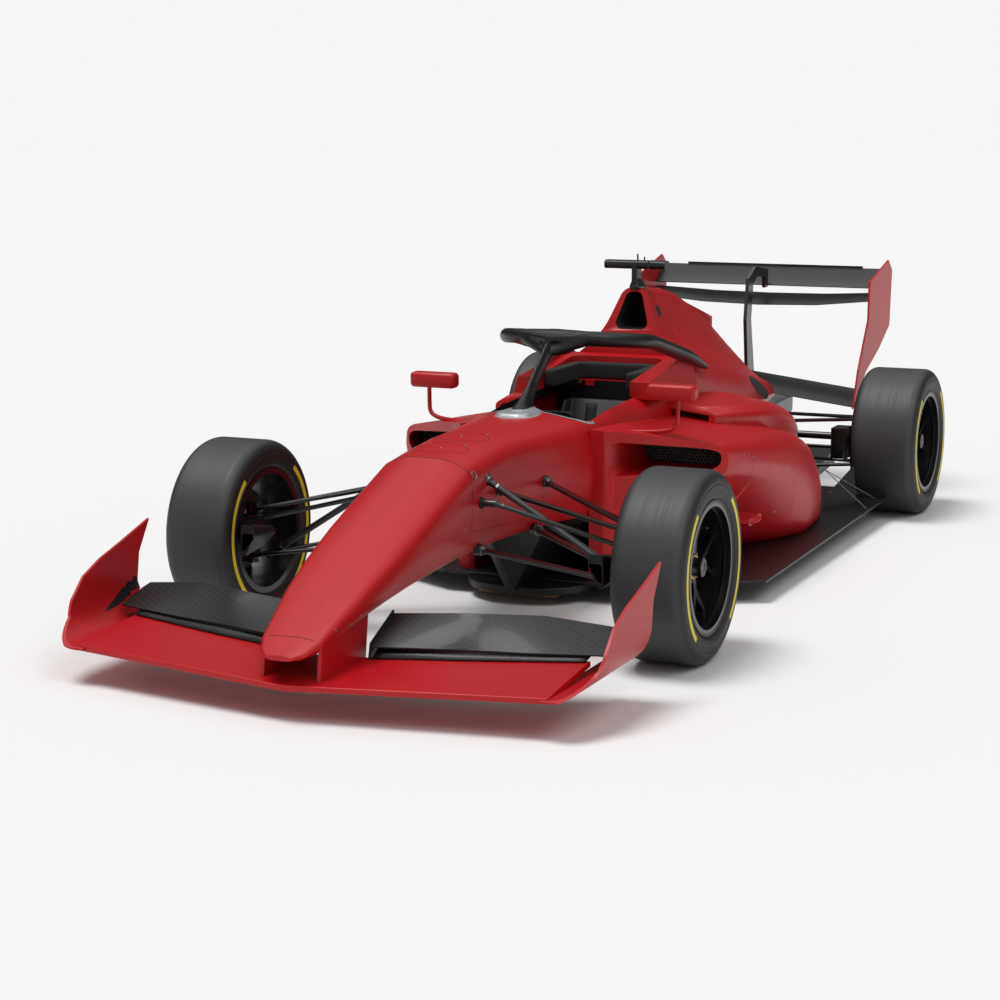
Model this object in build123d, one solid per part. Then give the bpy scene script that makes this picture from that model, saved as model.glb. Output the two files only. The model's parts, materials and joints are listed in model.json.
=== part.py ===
"""Open wheel racing car, in millimetres.

+X is the car's left, +Y points to its tail, +Z is up. The origin is on the ground, under the
middle of the car's length. Inside this file every piece is first built with Y counted from the
front axle, and is moved back by AXLE_Y when it is written.
"""

from build123d import *
from math import cos, radians, sin, tan
import os

os.makedirs("parts", exist_ok=True)

# Overall sizes
LENGTH = 4965
WIDTH = 1885
WHEELBASE = 2880
FRONT_OVERHANG = 1156
AXLE_Y = FRONT_OVERHANG - LENGTH / 2
TAIL_Y = LENGTH - FRONT_OVERHANG

# Fits and cuts
OVERRUN = 20
SEAT_GAP = 0.3
RUNNING_GAP = 0.4
JOINT_GAP = 3

# Wheels
TYRE_RADIUS = 313
FRONT_TYRE_WIDTH = 246
REAR_TYRE_WIDTH = 281
FRONT_WIDTH = 1854
TYRE_SHOULDER = 42
TYRE_SIDE_RADIUS = 30
TYRE_SIDE_STEP = 24
TYRE_WALL = 16
RIM_RADIUS = 218
BEAD_RADIUS = 203
BARREL_RADIUS = 197
RIM_LIP = 6
RIM_INSET = 9
HUB_RADIUS = 52
SPOKE_COUNT = 5
SPOKE_FORK_DEG = 17
SPOKE_WIDTH = 15
SPOKE_DEPTH = 24
SPOKE_INSET = 62
FORK_RADIUS = 84
SPINDLE_RADIUS = 26
SPINDLE_LENGTH = 60
NUT_RADIUS = 30
NUT_LENGTH = 34
DISC_RADIUS = 139
DISC_WIDTH = 28
DISC_INSET = 44
DISC_REACH = RIM_INSET + SPOKE_INSET + DISC_INSET + DISC_WIDTH
FRONT_HUB_X = FRONT_WIDTH / 2 - DISC_REACH
REAR_HUB_X = WIDTH / 2 - DISC_REACH

# Body skins
BODY_WALL = 22
BODY_SOFT_SHARE = 0.42
STATION_PITCH = 150
SOFT_RADIUS_LIMIT = 3000

# Nose
NOSE_LENGTH = 976
NOSE_JOINT_HALF = 172
NOSE_JOINT_TOP = 638
# columns: station along the nose, then pairs of half width and height from the keel to the
# crown, as shares of the half width and height at the joint
NOSE_SHARES = (
    (0.000, (0.18, 0.297), (0.26, 0.306), (0.24, 0.316), (0.10, 0.322)),
    (0.030, (0.34, 0.295), (0.45, 0.315), (0.42, 0.335), (0.18, 0.344)),
    (0.085, (0.46, 0.305), (0.59, 0.345), (0.56, 0.376), (0.24, 0.389)),
    (0.290, (0.62, 0.384), (0.80, 0.455), (0.76, 0.530), (0.33, 0.550)),
    (0.610, (0.78, 0.455), (0.96, 0.590), (0.92, 0.730), (0.40, 0.770)),
    (1.000, (0.86, 0.481), (1.00, 0.735), (0.96, 0.939), (0.44, 1.000)),
)

# Monocoque
TUB_START = NOSE_LENGTH - FRONT_OVERHANG
TUB_LENGTH = 1930
TUB_END = TUB_START + TUB_LENGTH
TUB_HALF = 300
TUB_HEIGHT = 690
# columns: station along the tub, then pairs of half width and height from the keel to the
# crown, as shares of the tub's half width and height
TUB_SHARES = (
    (0.000, (0.495, 0.444), (0.575, 0.680), (0.550, 0.868), (0.25, 0.925)),
    (0.155, (0.500, 0.443), (0.590, 0.700), (0.545, 0.915), (0.25, 0.972)),
    (0.386, (0.560, 0.400), (0.790, 0.660), (0.690, 0.925), (0.30, 0.988)),
    (0.560, (0.740, 0.180), (0.960, 0.580), (0.760, 0.955), (0.40, 1.000)),
    (0.780, (0.840, 0.130), (1.000, 0.560), (0.880, 0.950), (0.60, 1.000)),
    (1.000, (0.840, 0.130), (1.000, 0.560), (0.880, 0.950), (0.60, 1.000)),
)
COCKPIT_LENGTH = 880
BULKHEAD_THICK = 230
BACK_OVERLAP = 60
COCKPIT_END = TUB_END - BULKHEAD_THICK
COCKPIT_START = COCKPIT_END - COCKPIT_LENGTH
COCKPIT_HALF = 205
COCKPIT_CORNER = 120
FOOTWELL_START = -60

# Keel under the footwell
KEEL_START = 330
KEEL_LENGTH = 570
KEEL_TOP = 318
KEEL_HALF = 222
# columns: station along the keel, lower half width and height, upper half width, as shares of
# the keel's half width and top
KEEL_SHARES = (
    (0.00, 0.02, 0.860, 0.20),
    (0.30, 0.07, 0.180, 0.66),
    (1.00, 0.55, 0.180, 1.00),
)

# Cockpit surround
SURROUND_LENGTH = 600
SURROUND_END = TUB_END - BACK_OVERLAP
SURROUND_START = SURROUND_END - SURROUND_LENGTH
SURROUND_TOP = 778
SURROUND_HALF = 284
SURROUND_TOP_HALF = 256
SURROUND_INNER_HALF = 190
SURROUND_SLOPE = 105
SURROUND_CORNER = 60
PAD_THICK = 46
PAD_LENGTH = 330
PAD_DROP = 22

# Seat
SEAT_HALF = 170
SEAT_WALL = 14
SEAT_BACK_TOP_Z = 620
SEAT_BACK_TOP_Y = 1490
SEAT_HIP_Y = 1290
SEAT_FRONT_Y = 940
SEAT_LOW_Z = 150

# Steering wheel
WHEEL_Y = 800
WHEEL_Z = 590
WHEEL_HALF = 130
WHEEL_HALF_HEIGHT = 75
WHEEL_DEPTH = 28
COLUMN_RADIUS = 14
DASH_Y = 640

# Halo
HALO_TUBE_RADIUS = 28
HALO_FRONT_Y = 905
HALO_FRONT_Z = 922
HALO_HALF = 272
HALO_SHOULDER_Y = 1190
HALO_SHOULDER_Z = 888
HALO_REAR_HALF = 262
HALO_REAR_Y = 1850
HALO_REAR_Z = 735
HALO_FRONT_RADIUS = 245
HALO_SHOULDER_RADIUS = 560
PILLAR_FOOT_Y = 578
PILLAR_THICK = 26
PILLAR_FOOT_CHORD = 95
PILLAR_TOP_CHORD = 120
HALO_WEB_THICK = 26
HALO_WEB_HALF = 128
HALO_WEB_LENGTH = 78
HALO_FOOT_HALF = 64
HALO_FOOT_LENGTH = 170
HALO_FOOT_THICK = 24

# Engine cover
COVER_START = TUB_END - BACK_OVERLAP
COVER_LENGTH = 1550
COVER_HALF = 286
COVER_HEIGHT = 1043
COVER_WALL = 14
# columns: station along the cover, then pairs of half width and height from the sill to the
# spine, as shares of the cover's half width and height
COVER_SHARES = (
    (0.00, (0.94, 0.30), (1.00, 0.52), (0.92, 0.71), (0.42, 0.82), (0.17, 1.000)),
    (0.20, (0.94, 0.28), (1.00, 0.47), (0.88, 0.66), (0.38, 0.79), (0.10, 0.975)),
    (0.50, (0.90, 0.40), (0.94, 0.45), (0.80, 0.575), (0.33, 0.70), (0.08, 0.845)),
    (0.75, (0.70, 0.41), (0.72, 0.45), (0.60, 0.52), (0.28, 0.60), (0.07, 0.680)),
    (1.00, (0.46, 0.41), (0.48, 0.43), (0.42, 0.46), (0.22, 0.485), (0.07, 0.510)),
)
COVER_SOFT_SHARE = 0.40
INLET_LOW = 876
INLET_TOP = 1022
INLET_LOW_HALF = 76
INLET_TOP_HALF = 30
INLET_DEPTH = 150
INLET_CORNER = 26
INLET_LEAN = 62

# Engine fin
FIN_START = 1990
FIN_END = 2696
FIN_START_Z = 1022
FIN_END_Z = 840
FIN_BASE_END_Z = 770
FIN_THICK = 10

# Camera bar on the roll hoop
BAR_HALF = 128
BAR_Z = 1129
BAR_Y = 1760
BAR_HIGH = 34
BAR_DEEP = 56
BAR_EDGE_RADIUS = 15
POST_DEEP = 60
POST_THICK = 20

# Sidepods
POD_START = 660
POD_LENGTH = 1940
POD_INNER = 225
POD_HALF = 735
POD_TOP = 612
# columns: station along the pod, then pairs of outer half width and height from the floor's
# edge to the inner top, as shares of the pod's half width and top
POD_SHARES = (
    (0.000, (0.36, 0.12), (0.72, 0.74), (0.70, 0.94), (0.52, 1.00), (0.32, 1.02)),
    (0.170, (0.38, 0.12), (0.885, 0.74), (0.875, 0.90), (0.58, 0.965), (0.32, 1.00)),
    (0.290, (0.56, 0.12), (0.945, 0.70), (0.905, 0.865), (0.58, 0.945), (0.32, 0.98)),
    (0.420, (0.80, 0.12), (0.985, 0.60), (0.925, 0.840), (0.56, 0.925), (0.32, 0.96)),
    (0.560, (0.985, 0.12), (1.00, 0.48), (0.925, 0.785), (0.54, 0.890), (0.32, 0.93)),
    (0.700, (0.950, 0.12), (0.96, 0.40), (0.880, 0.690), (0.52, 0.810), (0.32, 0.87)),
    (0.850, (0.820, 0.12), (0.83, 0.34), (0.760, 0.560), (0.47, 0.690), (0.32, 0.76)),
    (1.000, (0.600, 0.12), (0.61, 0.28), (0.560, 0.440), (0.42, 0.540), (0.32, 0.60)),
)
POD_SOFT_SHARE = 0.36
# the pod's front edge: X and Y of its inner and outer ends
POD_LIP = ((280, 690), (648, 985))
# the air inlet's outline from the front: X as shares of POD_HALF, Z as shares of POD_TOP
POD_INLET_SHARES = (
    (0.395, 0.745), (0.800, 0.745), (0.852, 0.790), (0.852, 0.855), (0.800, 0.882),
    (0.395, 0.952),
)
POD_INLET_END = 1090
SCREEN_THICK = 8
SCREEN_SEAT = 30
HUMP_START = 1400
HUMP_LENGTH = 1280
HUMP_INNER = 200
HUMP_HALF = 560
HUMP_TOP = 640
# columns: station along the hump, then pairs of outer half width and height from its foot to
# its inner top, as shares of the hump's half width and top
HUMP_SHARES = (
    (0.00, (0.80, 0.80), (0.82, 0.93), (0.74, 0.965), (0.50, 1.00)),
    (0.30, (0.99, 0.74), (1.00, 0.88), (0.90, 0.935), (0.54, 0.98)),
    (0.65, (0.94, 0.60), (0.95, 0.74), (0.84, 0.820), (0.50, 0.88)),
    (1.00, (0.68, 0.42), (0.69, 0.51), (0.62, 0.570), (0.42, 0.64)),
)
# the duct's mouth in the hump: X as shares of HUMP_HALF, Z as shares of HUMP_TOP
DUCT_SHARES = ((0.50, 0.880), (0.77, 0.880), (0.77, 0.925), (0.50, 0.955))
DUCT_DEPTH = 130
BUMP_Y = 1180
BUMP_Z = 246
BUMP_HALF = 690
BUMP_CHORD = 150
BUMP_THICK = 26

# Floor
RAKE_DEG = 0.65
FLOOR_Z = 84
FLOOR_THICK = 12
FLOOR_FRONT = 900
FLOOR_HALF = 822
FLOOR_INNER_FRONT = 640
FLOOR_INNER_HALF = 330
FLOOR_SIDE_END = 2640
FLOOR_TAIL_HALF = 560
FLOOR_END = 2780
DIFFUSER_LENGTH = 470
DIFFUSER_RISE = 100
DIFFUSER_HALF = 420
DIFFUSER_INNER = 125
DIFFUSER_THICK = 8
STRAKE_COUNT = 3
STRAKE_THICK = 5
PLANK_HALF = 150
PLANK_THICK = 12
PLANK_Z = 34
PLANK_START = 560
PLANK_END = 3000
SPLITTER_START = 520
SPLITTER_HALF = 240
SPLITTER_CORNER = 190

# Front wing
WING_THICK = 20
WING_EDGE = 6
WING_HALF = 782
# columns: distance from the middle as a share of WING_HALF, then leading edge Y and Z and
# trailing edge Y and Z as shares of FRONT_OVERHANG
WING_SHARES = (
    (0.00, -0.9916, 0.0910, -0.735, 0.1060),
    (0.51, -0.9354, 0.0970, -0.683, 0.1220),
    (1.00, -0.8826, 0.1030, -0.597, 0.1300),
)
FLAP_THICK = 12
FLAP_EDGE = 4
FLAP_INNER = 142
FLAP_OUTER = 850
# columns: distance from the inner end as a share of the flap's span, then leading edge Y and Z
# and trailing edge Y and Z as shares of FRONT_OVERHANG
FLAP_SHARES = (
    (0.00, -0.733, 0.150, -0.600, 0.210),
    (0.37, -0.671, 0.150, -0.596, 0.230),
    (0.65, -0.636, 0.150, -0.520, 0.222),
    (1.00, -0.584, 0.152, -0.437, 0.186),
)
FENCE_THICK = 6
ENDPLATE_X = 900
ENDPLATE_THICK = 9
ENDPLATE_BEND = 115
# side outline of the front endplate: Y and Z as shares of FRONT_OVERHANG
ENDPLATE_SHARES = (
    (-0.893, 0.080), (-0.893, 0.105), (-0.790, 0.158), (-0.761, 0.200), (-0.705, 0.254),
    (-0.619, 0.289), (-0.519, 0.316), (-0.373, 0.359), (-0.430, 0.271), (-0.448, 0.156),
    (-0.448, 0.080),
)
PYLON_X = 94
PYLON_THICK = 12
# side outline of the nose pylons: Y and Z as shares of FRONT_OVERHANG
PYLON_SHARES = ((-0.943, 0.095), (-0.929, 0.200), (-0.677, 0.230), (-0.698, 0.090))

# Rear wing
REAR_WING_HALF = 551
REAR_PLATE_THICK = 9
# side outline of the rear endplate: Y from the rear axle and Z, as shares of REAR_PLATE_TOP
REAR_PLATE_TOP = 1041
REAR_PLATE_SHARES = (
    (0.143, 0.398), (0.217, 0.559), (0.364, 0.761), (0.372, 0.925), (0.688, 1.000),
    (0.754, 0.951), (0.730, 0.707), (0.560, 0.620), (0.336, 0.537),
)
MAIN_Y = 3380
MAIN_Z = 868
MAIN_CHORD = 210
MAIN_DIP = 34
# columns: distance from the middle as a share of REAR_WING_HALF, then the dip's share
MAIN_DIP_SHARES = ((0, 1), (0.5, 0.8), (1, 0))
MAIN_THICK = 20
REAR_FLAP_Y = 3500
REAR_FLAP_Z = 915
REAR_FLAP_CHORD = 125
REAR_FLAP_RISE = 80
REAR_FLAP_THICK = 13
BEAM_Y = 3150
BEAM_Z = 472
BEAM_DROP = 68
BEAM_CHORD = 140
BEAM_RISE = 62
BEAM_THICK = 16
MAST_THICK = 16
# side outline of the swan neck: Y from the rear axle and Z, as shares of REAR_PLATE_TOP
MAST_SHARES = (
    (0.330, 0.440), (0.290, 0.750), (0.320, 0.930), (0.420, 0.975), (0.600, 0.950),
    (0.600, 0.870), (0.560, 0.870), (0.550, 0.920), (0.440, 0.930), (0.385, 0.900),
    (0.360, 0.750), (0.430, 0.440),
)

# Engine, gearbox and tail
ENGINE_HALF = 190
ENGINE_LOW = 120
ENGINE_HIGH = 480
BOX_START = 2420
BOX_END = 3240
BOX_HALF = 110
BOX_TAIL_HALF = 80
BOX_LOW = 130
BOX_HIGH = 400
BOX_CORNER = 22
TAIL_START = 3240
TAIL_HALF = 60
TAIL_LOW = 280
TAIL_HIGH = 370
TAIL_CORNER = 15
JACK_Y = 3510
JACK_HALF = 40
JACK_THICK = 8
LIGHT_LENGTH = 34
LIGHT_HALF = 45
LIGHT_HALF_HEIGHT = 38
STARTER_RADIUS = 16
STARTER_DEPTH = 60
STARTER_Z = 215

# Suspension
ARM_CHORD = 34
ARM_THICK = 13
FOOT_SINK = 14
EYE_RADIUS = 19
EYE_HEIGHT = 24
PIN_RADIUS = 8
EAR_THICK = 8
EAR_RADIUS = 22
UPPER_INSET = 46
LOWER_INSET = 34
STEER_INSET = 42
UPPER_JOINT = (FRONT_HUB_X - UPPER_INSET, 8, 384)
LOWER_JOINT = (FRONT_HUB_X - LOWER_INSET, -8, 222)
UPPER_FRONT_FOOT = (172, 6, 512)
UPPER_REAR_FOOT = (204, 350, 487)
LOWER_FRONT_FOOT = (152, -94, 330)
LOWER_REAR_FOOT = (176, 330, 322)
PUSHROD_FOOT = (160, -60, 560)
PUSHROD_RADIUS = 11
STEER_JOINT = (FRONT_HUB_X - STEER_INSET, -84, 352)
STEER_GAP = 5
STEER_PIN_RADIUS = 6
STEER_EYE_RADIUS = 21
STEER_EYE_BORE = 13
STEER_EYE_HEIGHT = 14
RACK_Y = -117
RACK_Z = 490
RACK_RADIUS = 12
RACK_HALF = 222
ROD_RADIUS = 8
BUSH_RADIUS = 20
BUSH_LENGTH = 46
UPRIGHT_RADIUS = 58
UPRIGHT_THICK = 34
SCOOP_FRONT = -258
SCOOP_REAR = -118
# the front brake scoop's outline from the front: X from the hub and Z from the wheel's middle,
# as shares of the tyre's radius
SCOOP_SHARES = (
    (-0.588, 0.220), (-0.434, 0.220), (-0.425, -0.121), (-0.479, -0.131), (-0.594, 0.102),
)
SCOOP_REAR_SHARE = 0.62
SCOOP_SOFT_SHARE = 0.3
SCOOP_WALL = 4
DUCT_HALF_HEIGHT = 18

REAR_UPPER_JOINT = (REAR_HUB_X - UPPER_INSET, 10, 402)
REAR_LOWER_JOINT = (REAR_HUB_X - LOWER_INSET, -10, 206)
REAR_UPPER_FEET = ((80, -250, 385), (70, 120, 385))
REAR_LOWER_FEET = ((80, -250, 190), (70, 170, 190))
REAR_TOE_JOINT = (REAR_HUB_X - STEER_INSET, 95, 250)
REAR_TOE_FOOT = (70, 150, 240)
SHAFT_RADIUS = 16
FLANGE_RADIUS = 44
FLANGE_LENGTH = 40
REAR_SCOOP = (590, 650)
REAR_SCOOP_FRONT = -322
REAR_SCOOP_REAR = -215
REAR_SCOOP_LOW = 262
REAR_SCOOP_HIGH = 396

# Mirrors
MIRROR_X = 470
MIRROR_HALF = 92
MIRROR_Y = 873
MIRROR_Z = 747
MIRROR_HIGH = 58
MIRROR_DEEP = 62
MIRROR_STALK = 17
MIRROR_STALK_X = 492
MIRROR_BEND = 60
MIRROR_KNEE_DROP = 128
MIRROR_FOOT = (196, 790, 600)


def station(y):
    """The upright plane across the car at a distance behind the front axle."""
    return Plane.XZ.offset(-y)


def rounded(points, share):
    """A closed outline with each corner rounded as far as a share of its shorter side allows."""
    radii = []
    for index, point in enumerate(points):
        before = Vector(*points[index - 1]) - Vector(*point)
        after = Vector(*points[(index + 1) % len(points)]) - Vector(*point)
        turn = radians(180 - before.get_angle(after))
        radius = min(before.length, after.length) * share / tan(turn / 2)
        radii.append(min(radius, SOFT_RADIUS_LIMIT))
    return make_face(FilletPolyline(*points, radius=radii, close=True))


def blended(table, length):
    """The rows of a table of stations, with more between them on smooth curves through them."""
    rows = [[share, *[value for pair in pairs for value in pair]] for share, *pairs in table]
    slopes = []
    for first, last in zip(rows, rows[1:]):
        slopes.append([(b - a) / (last[0] - first[0]) for a, b in zip(first, last)])
    bends = [slopes[0]]
    for before, after in zip(slopes, slopes[1:]):
        bends.append([2 * a * b / (a + b) if a * b > 0 else 0 for a, b in zip(before, after)])
    bends.append(slopes[-1])
    filled = [rows[0]]
    for first, last, leave, arrive in zip(rows, rows[1:], bends, bends[1:]):
        gap = last[0] - first[0]
        count = max(1, round(gap * length / STATION_PITCH))
        for number in range(1, count + 1):
            t = number / count
            start, end = (1 + 2 * t) * (1 - t) ** 2, t ** 2 * (3 - 2 * t)
            out, back = t * (1 - t) ** 2 * gap, t ** 2 * (t - 1) * gap
            filled.append([a * start + b * end + c * out + d * back
                           for a, b, c, d in zip(first, last, leave, arrive)])
    return [(share, *zip(flat[::2], flat[1::2])) for share, *flat in filled]


def corners_at(half, height, row, inset=0):
    """A section's corners on the left, moved in from the skin by an inset."""
    widest_level = max(row)[1]
    points = []
    for wide, level in row:
        lift = inset * ((level < widest_level) - (level > widest_level))
        points.append((max(half * wide - inset, inset / 4), height * level + lift))
    return points


def section(y, points, soft):
    """A body section, mirrored about the car's middle, from its lower to its upper corners."""
    return station(y) * rounded([*points, *[(-x, z) for x, z in reversed(points)]], soft)


def body(start, length, half, height, table, soft, inset=0):
    """A body lofted through the sections of a table, or its inside at an inset from the skin."""
    sections = []
    for share, *row in blended(table, length):
        points = corners_at(half, height, row, inset)
        sections.append(section(start + length * share, points, soft))
    return loft(sections, ruled=True)


def side_body(start, length, inner, half, height, table, soft):
    """A body on the car's left, with a flat inner side, lofted through a table's sections."""
    sections = []
    for share, *row in blended(table, length):
        points = corners_at(half, height, row)
        points = [(inner, points[0][1]), *points, (inner, points[-1][1])]
        sections.append(station(start + length * share) * rounded(points, soft))
    return loft(sections, ruled=True)


def bar(start, end, chord, thick):
    """An oval bar between two points, with its long side lying fore and aft."""
    first, last = Vector(*start), Vector(*end)
    along = (last - first).normalized()
    aft = Axis.Y.direction
    across = aft - along * aft.dot(along)
    plane = Plane(origin=first, x_dir=across, z_dir=along)
    return extrude(plane * SlotOverall(chord, thick), (last - first).length)


def rod(start, end, radius):
    """A round rod between two points."""
    first, last = Vector(*start), Vector(*end)
    plane = Plane(origin=first, z_dir=last - first)
    return extrude(plane * Circle(radius), (last - first).length)


def block(x_low, x_high, y_low, y_high, z_low, z_high):
    """A box between its low and high corners."""
    size = (x_high - x_low, y_high - y_low, z_high - z_low)
    middle = ((x_low + x_high) / 2, (y_low + y_high) / 2, (z_low + z_high) / 2)
    return Pos(*middle) * Box(*size)


def plate(points, x, thick):
    """A flat upright plate of a side outline, centred on a distance from the car's middle."""
    face = Plane.YZ.offset(x) * make_face(Polyline(*points, close=True))
    return extrude(face, thick / 2, both=True)


def other_side(shape):
    """The same piece on the car's right."""
    return mirror(shape, Plane.YZ)


def pair(shape):
    """A left piece and its mirror image, as two solids."""
    return Compound(children=[*shape.solids(), *other_side(shape).solids()])


def wing(rows, thick, edge):
    """A wing panel lofted through sections: x, then the leading and trailing edges' Y and Z."""
    sections = []
    for x, nose_y, nose_z, tail_y, tail_z in rows:
        belly_y = (nose_y * 2 + tail_y) / 3
        belly_z = (nose_z * 2 + tail_z) / 3
        half = edge / 2
        upper = ThreePointArc((nose_y, nose_z + half), (belly_y, belly_z + thick / 2),
                              (tail_y, tail_z + half))
        lower = ThreePointArc((tail_y, tail_z - half), (belly_y, belly_z - thick / 2),
                              (nose_y, nose_z - half))
        ends = [Line(upper @ 1, lower @ 0), Line(lower @ 1, upper @ 0)]
        sections.append(Plane.YZ.offset(x) * make_face(Wire([upper, ends[0], lower, ends[1]])))
    return loft(sections, ruled=True)


def write(name, shape):
    """Moves a piece from the front axle's frame to the car's and writes it."""
    export_step(Pos(0, AXLE_Y, 0) * shape, "parts/" + name + ".step")


# Wheels, built about the X axis with their outer side towards +X


def wheel_turn(points):
    """A turned ring from its half section of distances along and from the axle."""
    return revolve(Plane.XZ * make_face(Polyline(*points, close=True)), Axis.X)


def tyre(width):
    """A tyre's ring, with rounded shoulders and side walls and an open inside."""
    half = width / 2
    bead = half - RIM_INSET - RIM_LIP - SEAT_GAP
    foot = RIM_RADIUS + SEAT_GAP
    bead_low = BEAD_RADIUS + SEAT_GAP
    tread = TYRE_RADIUS - TYRE_WALL
    side = FilletPolyline(
        (bead, foot), (half - TYRE_WALL, foot), (half, foot + TYRE_SIDE_STEP),
        (half, TYRE_RADIUS), (0, TYRE_RADIUS), radius=(0, TYRE_SIDE_RADIUS, TYRE_SHOULDER))
    inside = Polyline((0, TYRE_RADIUS), (0, tread), (half - TYRE_WALL - TYRE_SHOULDER, tread),
                      (half - TYRE_WALL * 2, bead_low), (bead, bead_low), (bead, foot))
    ring = revolve(Plane.XZ * make_face(Wire([*side.edges(), *inside.edges()])), Axis.X)
    return ring + other_side(ring)


def spoke():
    """A spoke that forks towards the rim, as a flat outline with its stem along Y."""
    reach = BARREL_RADIUS + RIM_LIP / 2
    points = [(HUB_RADIUS - SPOKE_WIDTH, SPOKE_WIDTH), (FORK_RADIUS, SPOKE_WIDTH * 2 / 3)]
    for turn, away in ((SPOKE_FORK_DEG, SPOKE_WIDTH / 2), (SPOKE_FORK_DEG, -SPOKE_WIDTH / 2)):
        points.append((reach * cos(radians(turn)), reach * sin(radians(turn)) + away))
    points.append((FORK_RADIUS + SPOKE_WIDTH * 2, 0))
    mirrored = [(y, -x) for y, x in reversed(points[:-1])]
    return make_face(Polyline(*points, *mirrored, close=True))


def rim(width):
    """A centre lock rim with forked spokes, its brake disc and its spindle."""
    half = width / 2 - RIM_INSET
    lip = half - RIM_LIP
    ring = wheel_turn([
        (half, RIM_RADIUS), (lip, RIM_RADIUS), (lip, BEAD_RADIUS), (-lip, BEAD_RADIUS),
        (-lip, RIM_RADIUS), (-half, RIM_RADIUS), (-half, BARREL_RADIUS), (half, BARREL_RADIUS),
    ])
    face = half - SPOKE_INSET
    blade = extrude(Plane.YZ.offset(face - SPOKE_DEPTH) * spoke(), SPOKE_DEPTH)
    spokes = [Rot(360 / SPOKE_COUNT * number, 0, 0) * blade for number in range(SPOKE_COUNT)]
    disc_face = face - DISC_INSET
    turned = wheel_turn([
        (face + NUT_LENGTH, 0), (face + NUT_LENGTH, NUT_RADIUS), (face, NUT_RADIUS),
        (face, HUB_RADIUS), (disc_face, HUB_RADIUS), (disc_face, DISC_RADIUS),
        (disc_face - DISC_WIDTH, DISC_RADIUS), (disc_face - DISC_WIDTH, SPINDLE_RADIUS),
        (disc_face - DISC_WIDTH - SPINDLE_LENGTH, SPINDLE_RADIUS),
        (disc_face - DISC_WIDTH - SPINDLE_LENGTH, 0),
    ])
    return ring + turned + spokes


def write_wheels():
    axles = (("front", 0, FRONT_WIDTH, FRONT_TYRE_WIDTH),
             ("rear", WHEELBASE, WIDTH, REAR_TYRE_WIDTH))
    for end, y, track, width in axles:
        place = Pos((track - width) / 2, y, TYRE_RADIUS)
        for name, shape in (("tyre", tyre(width)), ("rim", rim(width))):
            write(name + "_" + end + "_left", place * shape)
            write(name + "_" + end + "_right", other_side(place * shape))


# Uprights and suspension


def knuckle_plane(point, upper, lower):
    """The plane across the kingpin at one of its joints."""
    return Plane(origin=Vector(*point), z_dir=Vector(*upper) - Vector(*lower))


def eye(point, upper, lower):
    """The eye at an arm's outer end, bored for the kingpin's stub."""
    ring = Circle(EYE_RADIUS) - Circle(PIN_RADIUS + RUNNING_GAP)
    return extrude(knuckle_plane(point, upper, lower) * ring, EYE_HEIGHT / 2, both=True)


def clevis(point, upper, lower):
    """The fork of the upright that holds an arm's eye, with its pin and its web to the hub."""
    plane = knuckle_plane(point, upper, lower)
    half = EYE_HEIGHT / 2 + JOINT_GAP
    whole = half + EAR_THICK
    pin = extrude(plane * Circle(PIN_RADIUS), whole, both=True)
    fork = extrude(plane * Circle(EAR_RADIUS), whole, both=True)
    fork -= extrude(plane * Circle(EYE_RADIUS * 3), half, both=True)
    x, y, z = point
    web_in = x + EYE_RADIUS + JOINT_GAP * 2
    web = block(web_in, web_in + EAR_THICK * 2, y - EAR_RADIUS, y + EAR_RADIUS, z - whole, z + whole)
    ears = []
    for side in (-1, 1):
        level = z + side * (half + EAR_THICK / 2)
        ears.append(block(x, web_in + EAR_THICK, y - EAR_RADIUS / 2, y + EAR_RADIUS / 2,
                          level - EAR_THICK / 2, level + EAR_THICK / 2))
    return fork + pin + web + ears


def spindle_bore(hub_y):
    circle = Plane.YZ * Circle(SPINDLE_RADIUS + RUNNING_GAP)
    return Pos(0, hub_y, TYRE_RADIUS) * extrude(circle, WIDTH)


def upright(upper, lower, hub_x, hub_y):
    """The upright round the wheel's spindle, from its lower to its upper fork."""
    web_in = max(upper[0], lower[0]) + EYE_RADIUS + JOINT_GAP * 2
    ring = Pos(hub_x - UPRIGHT_THICK, hub_y, TYRE_RADIUS) * extrude(
        Plane.YZ * Circle(UPRIGHT_RADIUS), UPRIGHT_THICK - JOINT_GAP)
    post = block(web_in, hub_x - JOINT_GAP, hub_y - EAR_RADIUS, hub_y + EAR_RADIUS,
                 lower[2], upper[2])
    shape = ring + post + clevis(upper, upper, lower) + clevis(lower, upper, lower)
    keep = block(0, hub_x - JOINT_GAP, hub_y - RIM_RADIUS, hub_y + RIM_RADIUS, 0,
                 TYRE_RADIUS * 2)
    return shape & keep


def scoop_outline(narrow=1, inset=0):
    """The brake scoop's outline from the front, narrowed about the wheel's middle height."""
    points = []
    for x, z in SCOOP_SHARES:
        points.append((FRONT_HUB_X + TYRE_RADIUS * x, TYRE_RADIUS * (1 + z * narrow)))
    face = rounded(points, SCOOP_SOFT_SHARE)
    return offset(face, -inset) if inset else face


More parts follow.
